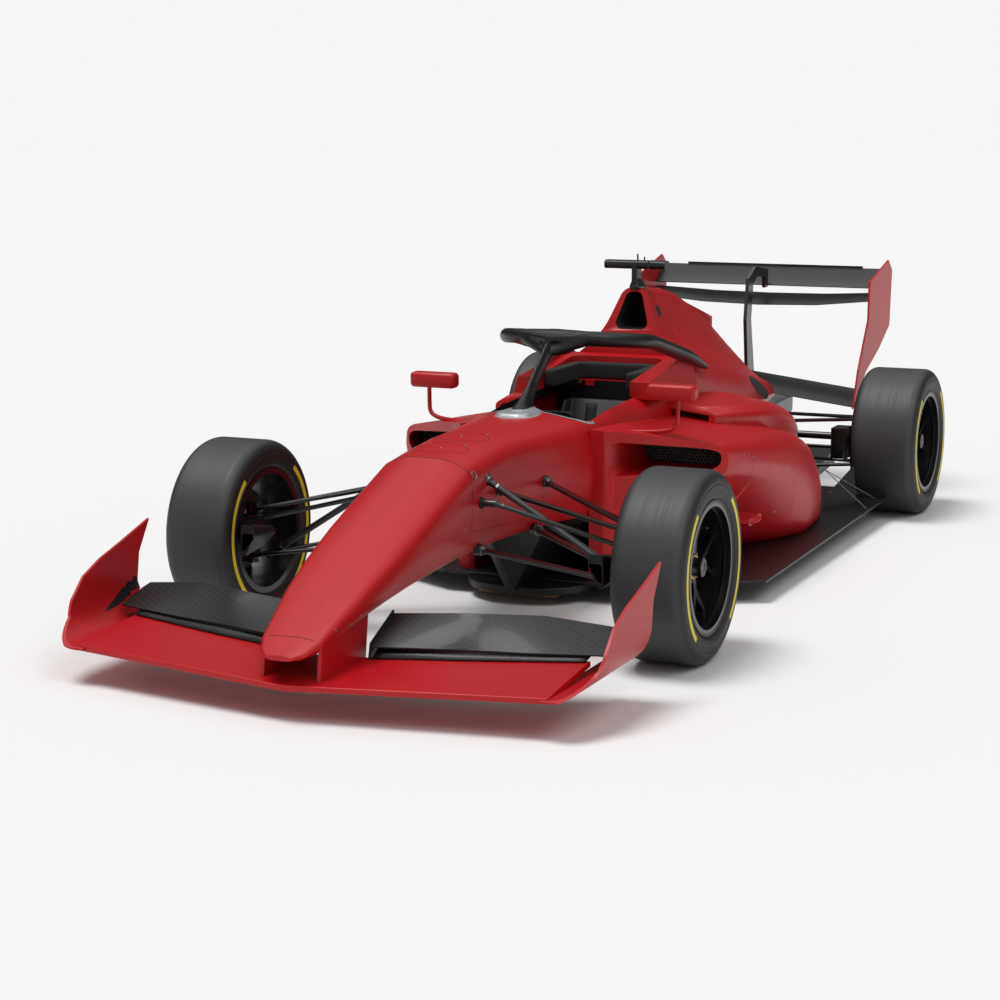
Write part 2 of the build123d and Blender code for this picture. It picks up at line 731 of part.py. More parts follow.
def brake_scoop():
    """The wedge shaped scoop in front of the wheel and its duct to the hub."""
    front = station(SCOOP_FRONT) * scoop_outline()
    scoop = loft([front, station(SCOOP_REAR) * scoop_outline(SCOOP_REAR_SHARE)], ruled=True)
    mouth = extrude(station(SCOOP_FRONT - OVERRUN) * scoop_outline(SCOOP_REAR_SHARE, SCOOP_WALL),
                    SCOOP_FRONT - SCOOP_REAR + SCOOP_WALL - OVERRUN)
    inner = FRONT_HUB_X + TYRE_RADIUS * SCOOP_SHARES[0][0] + SCOOP_WALL * 8
    duct = block(inner, FRONT_HUB_X - UPRIGHT_THICK + EAR_THICK, SCOOP_REAR - SCOOP_WALL,
                 SCOOP_REAR + UPRIGHT_RADIUS + EAR_RADIUS, TYRE_RADIUS - DUCT_HALF_HEIGHT,
                 TYRE_RADIUS + DUCT_HALF_HEIGHT)
    return scoop - mouth + duct


def front_upright():
    shape = upright(UPPER_JOINT, LOWER_JOINT, FRONT_HUB_X, 0) + brake_scoop()
    steer_x, steer_y, steer_z = STEER_JOINT
    eye_low = steer_z - STEER_EYE_HEIGHT / 2
    ear_low = eye_low - STEER_GAP - EAR_THICK
    arm = block(steer_x - EAR_THICK * 2, FRONT_HUB_X - JOINT_GAP, steer_y - EAR_THICK * 2, 0,
                ear_low, ear_low + EAR_THICK)
    pin = Pos(steer_x, steer_y, ear_low) * extrude(
        Circle(STEER_PIN_RADIUS), eye_low + STEER_EYE_HEIGHT + STEER_GAP - ear_low)
    return shape + arm + pin - spindle_bore(0)


def sunk(foot, joint):
    """An arm's foot moved on into the body that carries it."""
    first = Vector(*foot)
    return first + (first - Vector(*joint)).normalized() * FOOT_SINK


def wishbone(feet, joint, upper, lower):
    """Two legs from their feet on the body to one eye at the wheel."""
    shape = eye(joint, upper, lower)
    core = extrude(knuckle_plane(joint, upper, lower) * Circle(PIN_RADIUS + RUNNING_GAP),
                   EYE_HEIGHT, both=True)
    for foot in feet:
        shape += bar(sunk(foot, joint), joint, ARM_CHORD, ARM_THICK)
    return shape - core


def front_wishbones(tub):
    upper = wishbone((UPPER_FRONT_FOOT, UPPER_REAR_FOOT), UPPER_JOINT, UPPER_JOINT, LOWER_JOINT)
    lower = wishbone((LOWER_FRONT_FOOT, LOWER_REAR_FOOT), LOWER_JOINT, UPPER_JOINT, LOWER_JOINT)
    lower_x, lower_y, lower_z = LOWER_JOINT
    seat = (lower_x - EYE_RADIUS * 3, lower_y, lower_z + ARM_THICK / 4)
    lower += rod(sunk(PUSHROD_FOOT, seat), seat, PUSHROD_RADIUS)
    return pair(upper - tub), pair(lower - tub)


def rear_wishbones(gearbox):
    def at_rear(point):
        return (point[0], point[1] + WHEELBASE, point[2])

    joints = (at_rear(REAR_UPPER_JOINT), at_rear(REAR_LOWER_JOINT))
    upper = wishbone([at_rear(foot) for foot in REAR_UPPER_FEET], joints[0], *joints)
    lower = wishbone([at_rear(foot) for foot in REAR_LOWER_FEET], joints[1], *joints)
    toe = rod(at_rear(REAR_TOE_FOOT), at_rear(REAR_TOE_JOINT), ROD_RADIUS)
    return pair((upper + lower + toe) - gearbox)


def rear_upright():
    upper = (REAR_UPPER_JOINT[0], REAR_UPPER_JOINT[1] + WHEELBASE, REAR_UPPER_JOINT[2])
    lower = (REAR_LOWER_JOINT[0], REAR_LOWER_JOINT[1] + WHEELBASE, REAR_LOWER_JOINT[2])
    inner, outer = REAR_SCOOP
    front, rear = WHEELBASE + REAR_SCOOP_FRONT, WHEELBASE + REAR_SCOOP_REAR
    scoop = block(inner, outer, front, rear, REAR_SCOOP_LOW, REAR_SCOOP_HIGH)
    mouth = block(inner + SCOOP_WALL, outer - SCOOP_WALL, front - OVERRUN, rear - SCOOP_WALL,
                  REAR_SCOOP_LOW + SCOOP_WALL, REAR_SCOOP_HIGH - SCOOP_WALL)
    low, high = TYRE_RADIUS - DUCT_HALF_HEIGHT, TYRE_RADIUS + DUCT_HALF_HEIGHT
    end = WHEELBASE - EAR_RADIUS
    duct = block(outer - EAR_RADIUS, outer, rear - SCOOP_WALL, end, low, high)
    duct += block(outer - EAR_RADIUS, REAR_HUB_X - UPRIGHT_THICK + EAR_THICK,
                  WHEELBASE - UPRIGHT_RADIUS * 2, end, low, high)
    shape = upright(upper, lower, REAR_HUB_X, WHEELBASE)
    return shape + (scoop - mouth) + duct - spindle_bore(WHEELBASE)


def drive_shaft():
    """The shaft from the gearbox's flange to the rear spindle."""
    start = BOX_HALF - FLANGE_LENGTH + JOINT_GAP
    end = REAR_HUB_X - SPINDLE_LENGTH
    middle = Pos(start, WHEELBASE, TYRE_RADIUS)
    return middle * extrude(Plane.YZ * Circle(SHAFT_RADIUS), end - start)


def steering_rack():
    """The rack's bar with both track rods and their eyes."""
    bar_shape = rod((-RACK_HALF, RACK_Y, RACK_Z), (RACK_HALF, RACK_Y, RACK_Z), RACK_RADIUS)
    ring = Circle(STEER_EYE_RADIUS) - Circle(STEER_EYE_BORE)
    eyes = Pos(*STEER_JOINT) * extrude(ring, STEER_EYE_HEIGHT / 2, both=True)
    link = rod((RACK_HALF, RACK_Y, RACK_Z), STEER_JOINT, ROD_RADIUS)
    link -= Pos(*STEER_JOINT) * extrude(Circle(STEER_EYE_BORE), STEER_EYE_RADIUS, both=True)
    ball = Pos(RACK_HALF, RACK_Y, RACK_Z) * Sphere(RACK_RADIUS)
    end = eyes + link + ball
    return bar_shape + end + other_side(end)


def rack_hole():
    """The bore across the tub that holds the rack's bushes."""
    return Pos(0, RACK_Y, RACK_Z) * extrude(Plane.YZ * Circle(BUSH_RADIUS), TUB_HALF, both=True)


def rack_bushes(tub):
    """The bushes in the tub's sides that the rack slides in."""
    ring = Circle(BUSH_RADIUS) - Circle(RACK_RADIUS + RUNNING_GAP)
    long_ring = Pos(0, RACK_Y, RACK_Z) * extrude(Plane.YZ * ring, TUB_HALF, both=True)
    side = NOSE_JOINT_HALF - BUSH_LENGTH
    middle = block(-side, side, TUB_START, FOOTWELL_START, 0, TUB_HEIGHT)
    return (long_ring & tub) - middle


# Body


def nose_body():
    return body(-FRONT_OVERHANG, NOSE_LENGTH, NOSE_JOINT_HALF, NOSE_JOINT_TOP, NOSE_SHARES,
                BODY_SOFT_SHARE)


def tub_outer():
    whole = body(TUB_START, TUB_LENGTH, TUB_HALF, TUB_HEIGHT, TUB_SHARES, BODY_SOFT_SHARE)
    return whole & above_floor()


def tub_cavity():
    inside = body(TUB_START, TUB_LENGTH, TUB_HALF, TUB_HEIGHT, TUB_SHARES, BODY_SOFT_SHARE,
                  BODY_WALL)
    keep = block(-TUB_HALF, TUB_HALF, FOOTWELL_START, COCKPIT_END, 0, TUB_HEIGHT)
    return inside & keep & Pos(0, 0, BODY_WALL) * above_floor()


def cockpit_opening():
    length = COCKPIT_END - COCKPIT_START
    outline = RectangleRounded(COCKPIT_HALF * 2, length, COCKPIT_CORNER)
    middle = (COCKPIT_START + COCKPIT_END) / 2
    return Pos(0, middle, TUB_HEIGHT / 2) * extrude(outline, SURROUND_TOP)


def keel(tub, floor_slab, tray):
    """The narrow belly that carries the tray under the driver's legs."""
    sections = []
    for share, low_half, low, top_half in KEEL_SHARES:
        left = [(KEEL_HALF * low_half, KEEL_TOP * low), (KEEL_HALF * top_half, KEEL_TOP)]
        right = [(-x, z) for x, z in reversed(left)]
        face = make_face(Polyline(*left, *right, close=True))
        sections.append(station(KEEL_START + KEEL_LENGTH * share) * face)
    return loft(sections, ruled=True) - tub - floor_slab - tray


def surround_room(inset):
    """The upright room inside the surround, at an inset from its inner side."""
    end = SURROUND_END - SURROUND_SLOPE - inset
    start = SURROUND_START - OVERRUN - inset * 2
    outline = RectangleRounded((SURROUND_INNER_HALF - inset) * 2, end - start,
                               SURROUND_CORNER - inset)
    return Pos(0, (start + end) / 2, 0) * extrude(outline, SURROUND_TOP + OVERRUN)


def cockpit_surround(tub):
    """The raised sides and back of the cockpit, leaning in towards their top."""
    foot = TUB_HEIGHT - OVERRUN
    side = [
        (SURROUND_START, foot), (SURROUND_START + SURROUND_SLOPE, SURROUND_TOP),
        (SURROUND_END, SURROUND_TOP), (SURROUND_END, foot),
    ]
    across = Polyline((SURROUND_HALF, foot), (SURROUND_TOP_HALF, SURROUND_TOP),
                      (-SURROUND_TOP_HALF, SURROUND_TOP), (-SURROUND_HALF, foot), close=True)
    solid = extrude(station(SURROUND_START) * make_face(across), -SURROUND_LENGTH)
    return (solid & plate(side, 0, SURROUND_HALF * 2)) - surround_room(0) - tub


def headrest(tub):
    """The padded horseshoe round the driver's head, seated in the surround."""
    end = SURROUND_END - SURROUND_SLOPE
    keep = block(-SURROUND_HALF, SURROUND_HALF, end - PAD_LENGTH, end, TUB_HEIGHT - OVERRUN,
                 SURROUND_TOP - PAD_DROP)
    return ((surround_room(SEAT_GAP) - surround_room(PAD_THICK)) & keep) - tub


def seat(room):
    """A moulded shell, laid back, of the driver's form."""
    side = [
        (SEAT_FRONT_Y, SEAT_LOW_Z + SEAT_WALL * 4), (SEAT_HIP_Y - SEAT_WALL * 8, SEAT_LOW_Z),
        (SEAT_HIP_Y, SEAT_LOW_Z + SEAT_WALL * 2), (SEAT_BACK_TOP_Y, SEAT_BACK_TOP_Z),
    ]
    outer = [*side, (SEAT_BACK_TOP_Y - SEAT_HALF / 2, SEAT_BACK_TOP_Z),
             (SEAT_HIP_Y - SEAT_HALF, SEAT_LOW_Z + SEAT_HALF),
             (SEAT_FRONT_Y, SEAT_LOW_Z + SEAT_HALF)]
    shell = plate(outer, 0, SEAT_HALF * 2)
    inside = [
        (SEAT_FRONT_Y - OVERRUN, SEAT_LOW_Z + SEAT_WALL * 5),
        (SEAT_HIP_Y - SEAT_WALL * 8, SEAT_LOW_Z + SEAT_WALL),
        (SEAT_HIP_Y - SEAT_WALL, SEAT_LOW_Z + SEAT_WALL * 3),
        (SEAT_BACK_TOP_Y - SEAT_WALL, SEAT_BACK_TOP_Z + OVERRUN),
        (SEAT_FRONT_Y - OVERRUN, SEAT_BACK_TOP_Z + OVERRUN),
    ]
    bucket = shell - plate(inside, 0, (SEAT_HALF - SEAT_WALL) * 2)
    rail = block(SEAT_HALF / 2, SEAT_HALF / 2 + SEAT_WALL * 2, SEAT_FRONT_Y + OVERRUN,
                 SEAT_HIP_Y - SEAT_HALF, 0, SEAT_LOW_Z + SEAT_WALL * 2)
    rails = (rail + other_side(rail)) & room
    return bucket + (rails - plate(outer, 0, SEAT_HALF * 2))


def steering_wheel():
    rim_plate = RectangleRounded(WHEEL_HALF * 2, WHEEL_HALF_HEIGHT * 2, WHEEL_HALF_HEIGHT / 2)
    grip = RectangleRounded(WHEEL_HALF / 3, WHEEL_HALF_HEIGHT, WHEEL_HALF / 8)
    holes = [Pos(side * WHEEL_HALF * 2 / 3, 0) * grip for side in (-1, 1)]
    wheel = extrude(station(WHEEL_Y) * (rim_plate - holes), WHEEL_DEPTH / 2, both=True)
    column = rod((0, DASH_Y, WHEEL_Z), (0, WHEEL_Y, WHEEL_Z), COLUMN_RADIUS)
    return Pos(0, 0, WHEEL_Z) * wheel + column


def column_mount(cavity):
    """The bulkhead under the scuttle that carries the steering column."""
    web = block(-TUB_HALF, TUB_HALF, DASH_Y - BODY_WALL, DASH_Y, WHEEL_Z - WHEEL_HALF_HEIGHT,
                TUB_HEIGHT)
    return web & cavity


def halo_tube():
    """The left half of the hoop, a tube along lines and arcs."""
    path = FilletPolyline(
        (0, HALO_FRONT_Y, HALO_FRONT_Z), (HALO_HALF, HALO_FRONT_Y, HALO_FRONT_Z),
        (HALO_HALF, HALO_SHOULDER_Y, HALO_SHOULDER_Z), (HALO_REAR_HALF, HALO_REAR_Y, HALO_REAR_Z),
        radius=(HALO_FRONT_RADIUS, HALO_SHOULDER_RADIUS))
    start = Plane(origin=path @ 0, z_dir=path % 0)
    return sweep(start * Circle(HALO_TUBE_RADIUS), path=path)


def halo():
    """The hoop over the cockpit with its bladed pillar, the web where they meet, and its foot."""
    tube = halo_tube()
    foot_low = Pos(0, PILLAR_FOOT_Y, TUB_HEIGHT - OVERRUN)
    top = Pos(0, HALO_FRONT_Y, HALO_FRONT_Z)
    pillar = loft([foot_low * Ellipse(PILLAR_THICK / 2, PILLAR_FOOT_CHORD / 2),
                   top * Ellipse(PILLAR_THICK / 2, PILLAR_TOP_CHORD / 2)])
    web_front = HALO_FRONT_Y - HALO_WEB_LENGTH
    web = make_face(Polyline((0, web_front), (HALO_WEB_HALF, HALO_FRONT_Y),
                             (-HALO_WEB_HALF, HALO_FRONT_Y), close=True))
    web_level = Pos(0, 0, HALO_FRONT_Z)
    web = web_level * extrude(web, HALO_WEB_THICK / 2, both=True)
    pad = RectangleRounded(HALO_FOOT_HALF * 2, HALO_FOOT_LENGTH, HALO_FOOT_HALF - HALO_FOOT_THICK)
    foot = foot_low * extrude(pad, HALO_FOOT_THICK)
    return tube + other_side(tube) + pillar + web + foot


def cover_outer():
    """The engine cover's whole form, with the airbox face leaning back."""
    shape = body(COVER_START, COVER_LENGTH, COVER_HALF, COVER_HEIGHT, COVER_SHARES,
                 COVER_SOFT_SHARE)
    low = INLET_LOW - COVER_WALL * 2
    front = COVER_START - OVERRUN
    lean = [(front, low), (COVER_START, low), (COVER_START + INLET_LEAN, COVER_HEIGHT + OVERRUN),
            (front, COVER_HEIGHT + OVERRUN)]
    return shape - plate(lean, 0, COVER_HALF * 2)


def engine_cover(outer, tub):
    """The thin cover, open underneath and at its tail, with its air inlet and its fin."""
    inlet = station(COVER_START - OVERRUN) * make_face(FilletPolyline(
        (INLET_LOW_HALF, INLET_LOW), (INLET_TOP_HALF, INLET_TOP), (-INLET_TOP_HALF, INLET_TOP),
        (-INLET_LOW_HALF, INLET_LOW), radius=INLET_CORNER, close=True))
    mouth = extrude(inlet, -(INLET_DEPTH + INLET_LEAN + OVERRUN))
    open_shares = [(share, (sill[0], 0), *row) for share, sill, *row in COVER_SHARES]
    inside = body(COVER_START - COVER_WALL, COVER_LENGTH + COVER_WALL * 2, COVER_HALF,
                  COVER_HEIGHT, open_shares, COVER_SOFT_SHARE, COVER_WALL)
    ceiling = INLET_LOW - COVER_WALL * 3
    room = block(-COVER_HALF, COVER_HALF, COVER_START + COVER_WALL,
                 COVER_START + COVER_LENGTH + OVERRUN * 2, 0, ceiling)
    fin = [(FIN_START, FIN_START_Z), (FIN_END, FIN_END_Z), (FIN_END, FIN_BASE_END_Z),
           (FIN_START, FIN_START_Z - OVERRUN * 3)]
    return outer - (inside & room) - mouth - tub + (plate(fin, 0, FIN_THICK) - outer)


def camera_bar():
    spar = RectangleRounded(BAR_DEEP, BAR_HIGH, BAR_EDGE_RADIUS)
    across = Pos(0, BAR_Y, BAR_Z) * extrude(Plane.YZ * spar, BAR_HALF, both=True)
    post = block(-POST_THICK / 2, POST_THICK / 2, BAR_Y - POST_DEEP / 2, BAR_Y + POST_DEEP / 2,
                 COVER_HEIGHT - COVER_WALL, BAR_Z)
    return across + post


def pod_inlet(inset=0):
    """The air inlet's rounded outline from the front."""
    face = rounded([(POD_HALF * x, POD_TOP * z) for x, z in POD_INLET_SHARES], POD_SOFT_SHARE)
    return offset(face, -inset) if inset else face


def sidepod(tub, cover):
    """The left pod: its swept front lip, its inlet, the hump with its duct and the side bump."""
    shape = side_body(POD_START, POD_LENGTH, POD_INNER, POD_HALF, POD_TOP, POD_SHARES,
                      POD_SOFT_SHARE)
    (lip_half, lip_front), (tip_half, tip_front) = POD_LIP
    front = POD_START - OVERRUN
    ahead = make_face(Polyline(
        (0, front), (POD_HALF + OVERRUN, front), (POD_HALF + OVERRUN, tip_front),
        (tip_half, tip_front), (lip_half, lip_front), (0, lip_front), close=True))
    mouth = extrude(station(front) * pod_inlet(), front - POD_INLET_END - SCREEN_SEAT)
    shape = shape - extrude(ahead, POD_TOP + OVERRUN) - mouth

    hump = side_body(HUMP_START, HUMP_LENGTH, HUMP_INNER, HUMP_HALF, HUMP_TOP, HUMP_SHARES,
                     POD_SOFT_SHARE)
    duct = make_face(Polyline(*[(HUMP_HALF * x, HUMP_TOP * z) for x, z in DUCT_SHARES], close=True))
    hump -= extrude(station(HUMP_START - OVERRUN) * duct, -(DUCT_DEPTH + OVERRUN))
    bump = bar((POD_INNER, BUMP_Y, BUMP_Z), (BUMP_HALF, BUMP_Y, BUMP_Z), BUMP_CHORD, BUMP_THICK)
    return (shape + hump + bump - tub - cover) & above_floor()


def radiator_screens():
    screen = extrude(station(POD_INLET_END) * pod_inlet(SEAT_GAP), -SCREEN_THICK)
    return pair(screen)


# Floor


def raked(shape):
    """Tilts a floor piece nose down about the front axle's line."""
    return Rot(RAKE_DEG, 0, 0) * shape


def floor_outline():
    return [
        (0, FLOOR_INNER_FRONT), (FLOOR_INNER_HALF, FLOOR_INNER_FRONT), (FLOOR_HALF, FLOOR_FRONT),
        (FLOOR_HALF, FLOOR_SIDE_END), (FLOOR_TAIL_HALF, FLOOR_SIDE_END),
        (FLOOR_TAIL_HALF, FLOOR_END), (0, FLOOR_END),
    ]


def floor():
    right = [(-x, y) for x, y in reversed(floor_outline()) if x]
    slab = extrude(make_face(Polyline(*floor_outline(), *right, close=True)), FLOOR_THICK)
    return raked(Pos(0, 0, FLOOR_Z - FLOOR_THICK - AXLE_DROP) * slab)


def above_floor():
    """The room above the floor's top face."""
    return raked(block(-WIDTH, WIDTH, -LENGTH, LENGTH, FLOOR_Z - AXLE_DROP, LENGTH))


AXLE_DROP = FLOOR_FRONT * sin(radians(RAKE_DEG))


def plank():
    low = PLANK_Z - AXLE_DROP
    return raked(block(-PLANK_HALF, PLANK_HALF, PLANK_START, PLANK_END, low, low + PLANK_THICK))


def splitter():
    low = PLANK_Z + PLANK_THICK - AXLE_DROP
    high = FLOOR_Z - FLOOR_THICK - AXLE_DROP
    tray = block(-SPLITTER_HALF, SPLITTER_HALF, SPLITTER_START, PLANK_END, low, high)
    edges = tray.edges().filter_by(Axis.Z).sort_by(Axis.Y)[:2]
    return raked(fillet(edges, SPLITTER_CORNER))


def diffuser():
    """The rising tail of the floor beside the gearbox, with its strakes."""
    low = FLOOR_Z - FLOOR_THICK - AXLE_DROP
    end = FLOOR_END + DIFFUSER_LENGTH
    high = low + DIFFUSER_RISE
    width = DIFFUSER_HALF - DIFFUSER_INNER
    middle = DIFFUSER_INNER + width / 2
    shape = plate([(FLOOR_END, low), (end, high), (end, high + DIFFUSER_THICK),
                   (FLOOR_END, low + FLOOR_THICK)], middle, width)
    hung = [(FLOOR_END, low), (end, high), (end, low + DIFFUSER_RISE / 3)]
    for number in range(STRAKE_COUNT + 1):
        x = DIFFUSER_INNER + STRAKE_THICK / 2 + (width - STRAKE_THICK) * number / STRAKE_COUNT
        shape += plate(hung, x, STRAKE_THICK)
    return raked(pair(shape))


# Wings


def front_wing_main():
    rows = []
    for share, *edges in WING_SHARES:
        rows.append((WING_HALF * share, *[FRONT_OVERHANG * edge for edge in edges]))
    left = wing(rows, WING_THICK, WING_EDGE * 3)
    return left + other_side(left)


def front_flap_rows():
    rows = []
    for share, *edges in FLAP_SHARES:
        x = FLAP_INNER + (FLAP_OUTER - FLAP_INNER) * share
        rows.append((x, *[FRONT_OVERHANG * edge for edge in edges]))
    return rows


def front_flaps(main, endplate):
    flap = wing(front_flap_rows(), FLAP_THICK, FLAP_EDGE)
    x, nose_y, nose_z, tail_y, tail_z = front_flap_rows()[0]
    fence = plate([(nose_y - FLAP_THICK, nose_z - FLAP_THICK * 3), (nose_y, nose_z + FLAP_THICK),
                   (tail_y, tail_z + FLAP_THICK), (tail_y, nose_z - FLAP_THICK * 3)],
                  x - FENCE_THICK / 2, FENCE_THICK)
    return pair((flap + fence) - main - endplate)


def front_endplate():
    outline = [(FRONT_OVERHANG * y, FRONT_OVERHANG * z) for y, z in ENDPLATE_SHARES]
    side = plate(outline, ENDPLATE_X, FLOOR_HALF)
    top = max(z for y, z in outline)
    start = outline[0][0]
    foot = FRONT_OVERHANG * WING_SHARES[-1][2]
    path = FilletPolyline((WING_HALF - WING_THICK, foot), (ENDPLATE_X, foot),
                          (ENDPLATE_X, top + OVERRUN), radius=ENDPLATE_BEND)
    profile = offset(path, ENDPLATE_THICK / 2)
    band = extrude(station(start - OVERRUN) * make_face(profile), -FRONT_OVERHANG)
    return band & side


def front_pylons():
    outline = [(FRONT_OVERHANG * y, FRONT_OVERHANG * z) for y, z in PYLON_SHARES]
    left = plate(outline, PYLON_X, PYLON_THICK)
    return left + other_side(left)


def rear_plate():
    outline = [(WHEELBASE + REAR_PLATE_TOP * y, REAR_PLATE_TOP * z) for y, z in REAR_PLATE_SHARES]
    return plate(outline, REAR_WING_HALF + REAR_PLATE_THICK / 2, REAR_PLATE_THICK)


def rear_main():
    rows = []
    for share, dip_share in MAIN_DIP_SHARES:
        dip = MAIN_DIP * dip_share
        rows.append((REAR_WING_HALF * share, MAIN_Y, MAIN_Z - dip, MAIN_Y + MAIN_CHORD,
                     MAIN_Z + MAIN_THICK - dip / 2))
    left = wing(rows, MAIN_THICK, FLAP_EDGE)
    return left + other_side(left)


def rear_flap():
    edges = (REAR_FLAP_Y, REAR_FLAP_Z, REAR_FLAP_Y + REAR_FLAP_CHORD,
             REAR_FLAP_Z + REAR_FLAP_RISE)
    left = wing([(0, *edges), (REAR_WING_HALF, *edges)], REAR_FLAP_THICK, FLAP_EDGE)
    return left + other_side(left)


def beam_wing():
    tail_y = BEAM_Y + BEAM_CHORD
    tip_z = BEAM_Z - BEAM_DROP
    rows = [(0, BEAM_Y, BEAM_Z, tail_y, BEAM_Z + BEAM_RISE),
            (REAR_WING_HALF, BEAM_Y, tip_z, tail_y, tip_z + BEAM_RISE)]
    left = wing(rows, BEAM_THICK, FLAP_EDGE)
    return left + other_side(left)


def rear_mast(*neighbours):
    """The swan neck plate from the tail to the wing's top side."""
    outline = [(WHEELBASE + REAR_PLATE_TOP * y, REAR_PLATE_TOP * z) for y, z in MAST_SHARES]
    shape = plate(outline, 0, MAST_THICK)
    for neighbour in neighbours:
        shape -= neighbour
    return shape


# Engine, gearbox and tail


def engine_block():
    return block(-ENGINE_HALF, ENGINE_HALF, TUB_END, BOX_START, ENGINE_LOW, ENGINE_HIGH)


def gearbox():
    """The tapered gearbox, with its drive flanges and the socket for the outside starter."""
    middle = (BOX_LOW + BOX_HIGH) / 2
    ends = []
    for y, half in ((BOX_START, BOX_HALF), (BOX_END, BOX_TAIL_HALF)):
        outline = RectangleRounded(half * 2, BOX_HIGH - BOX_LOW, BOX_CORNER)
        ends.append(station(y) * Pos(0, middle) * outline)
    socket = rod((0, BOX_END - STARTER_DEPTH, STARTER_Z), (0, BOX_END + OVERRUN, STARTER_Z),
                 STARTER_RADIUS)
    axle = Pos(0, WHEELBASE, TYRE_RADIUS)
    flange = axle * extrude(Plane.YZ * Circle(FLANGE_RADIUS), BOX_HALF, both=True)
    bore = axle * Pos(BOX_HALF - FLANGE_LENGTH, 0, 0) * extrude(
        Plane.YZ * Circle(SHAFT_RADIUS + RUNNING_GAP), FLANGE_LENGTH + OVERRUN)
    return loft(ends, ruled=True) + flange - bore - other_side(bore) - socket


def crash_structure():
    """The tail that carries the rain light, with a flat lifting pad underneath."""
    middle = (TAIL_LOW + TAIL_HIGH) / 2
    ends = []
    for y, half in ((TAIL_START, BOX_TAIL_HALF), (TAIL_Y - LIGHT_LENGTH, TAIL_HALF)):
        outline = RectangleRounded(half * 2, TAIL_HIGH - TAIL_LOW, TAIL_CORNER)
        ends.append(station(y) * Pos(0, middle) * outline)
    pad = block(-JACK_HALF, JACK_HALF, JACK_Y - JACK_HALF, JACK_Y + JACK_HALF,
                TAIL_LOW - JACK_THICK, TAIL_LOW + JACK_THICK)
    return loft(ends, ruled=True) + pad


def rain_light():
    middle = (TAIL_LOW + TAIL_HIGH) / 2
    return block(-LIGHT_HALF, LIGHT_HALF, TAIL_Y - LIGHT_LENGTH, TAIL_Y,
                 middle - LIGHT_HALF_HEIGHT, middle + LIGHT_HALF_HEIGHT)


def mirror_pair(tub, pod):
    """The mirrors on their bent stalks."""
    housing = Pos(MIRROR_X, MIRROR_Y, MIRROR_Z) * Box(MIRROR_HALF * 2, MIRROR_DEEP, MIRROR_HIGH)
    housing = fillet(housing.edges().filter_by(Axis.X), MIRROR_HIGH / 4)
    path = FilletPolyline(
        (MIRROR_STALK_X, MIRROR_Y, MIRROR_Z), (MIRROR_STALK_X, MIRROR_Y, MIRROR_Z - MIRROR_KNEE_DROP),
        MIRROR_FOOT, radius=MIRROR_BEND)
    start = Plane(origin=path @ 0, z_dir=path % 0)
    stalk = sweep(start * Circle(MIRROR_STALK / 2), path=path)
    return pair((housing + stalk) - tub - pod)


def write_body(outer, cavity, floor_slab, tray):
    """Writes the nose, the tub and what is fixed to it, and returns what other pieces meet."""
    shell = outer - cavity - cockpit_opening() - rack_hole() + column_mount(cavity)
    surround = cockpit_surround(outer)
    write("monocoque", shell)
    write("rack_bushes", rack_bushes(outer))
    write("nose", nose_body() + (front_pylons() - front_wing_main()))
    write("keel", keel(outer, floor_slab, tray))
    write("cockpit_surround", surround)
    write("headrest", headrest(outer))
    write("seat", seat(cavity))
    write("steering_wheel", steering_wheel())
    return surround


def write_tail(cover, box):
    """Writes the rear wing and what carries it."""
    main, flap, beam = rear_main(), rear_flap(), beam_wing()
    write("gearbox", box)
    write("rain_light", rain_light())
    write("rear_wing_main", main)
    write("rear_wing_flap", flap)
    write("rear_endplates", pair(rear_plate()))
    write("beam_wing", beam - cover - box)
    write("rear_wing_mast", rear_mast(main, flap, beam, box, cover))


def write_suspension(outer):
    upper, lower = front_wishbones(outer)
    write("front_upper_wishbones", upper)
    write("front_lower_wishbones", lower)
    left = front_upright()
    write("front_upright_left", left)
    write("front_upright_right", other_side(left))
    write("rear_uprights", pair(rear_upright()))
    write("steering_rack", steering_rack())
    shaft = drive_shaft()
    write("drive_shaft_left", shaft)
    write("drive_shaft_right", other_side(shaft))


def build():
    floor_slab, tray = floor(), splitter()
    write("floor", floor_slab)
    write("splitter", tray)
    write("plank", plank())
    write("diffuser", diffuser())

    outer, cavity = tub_outer(), tub_cavity()
    surround = write_body(outer, cavity, floor_slab, tray)
    cover = cover_outer()
    write("halo", halo() - outer - surround - cover)
    write("engine_block", engine_block())
    write("engine_cover", engine_cover(cover, outer))
    write("camera_bar", camera_bar() - cover)

    box = gearbox() + crash_structure()
    arms = rear_wishbones(box)
    write("rear_wishbones", arms)
    pod = sidepod(outer, cover) - arms
    write("sidepod_left", pod)
    write("sidepod_right", other_side(pod))
    write("radiator_screens", radiator_screens())
    write("mirrors", mirror_pair(outer, pod))

    main, plates = front_wing_main(), front_endplate()
    write("front_wing_main", main)
    write("front_wing_flaps", front_flaps(main, plates))
    write("front_endplates", pair(plates - main))

    write_tail(cover, box)
    write_suspension(outer)
    write_wheels()


build()
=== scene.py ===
"""Looks of an open wheel racing car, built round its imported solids, in metres.

+X is the car's left, +Y points to its tail, +Z is up, and the origin is on the ground under the
middle of the car. Places in the tables below are in millimetres, with Y counted from the front
axle, as on the car's own drawing, and at() turns them into metres about the car's middle.
"""

import json
from collections import namedtuple
from math import cos, pi, radians, sin

import bmesh
import bpy
from mathutils import Matrix, Vector
from mathutils.bvhtree import BVHTree


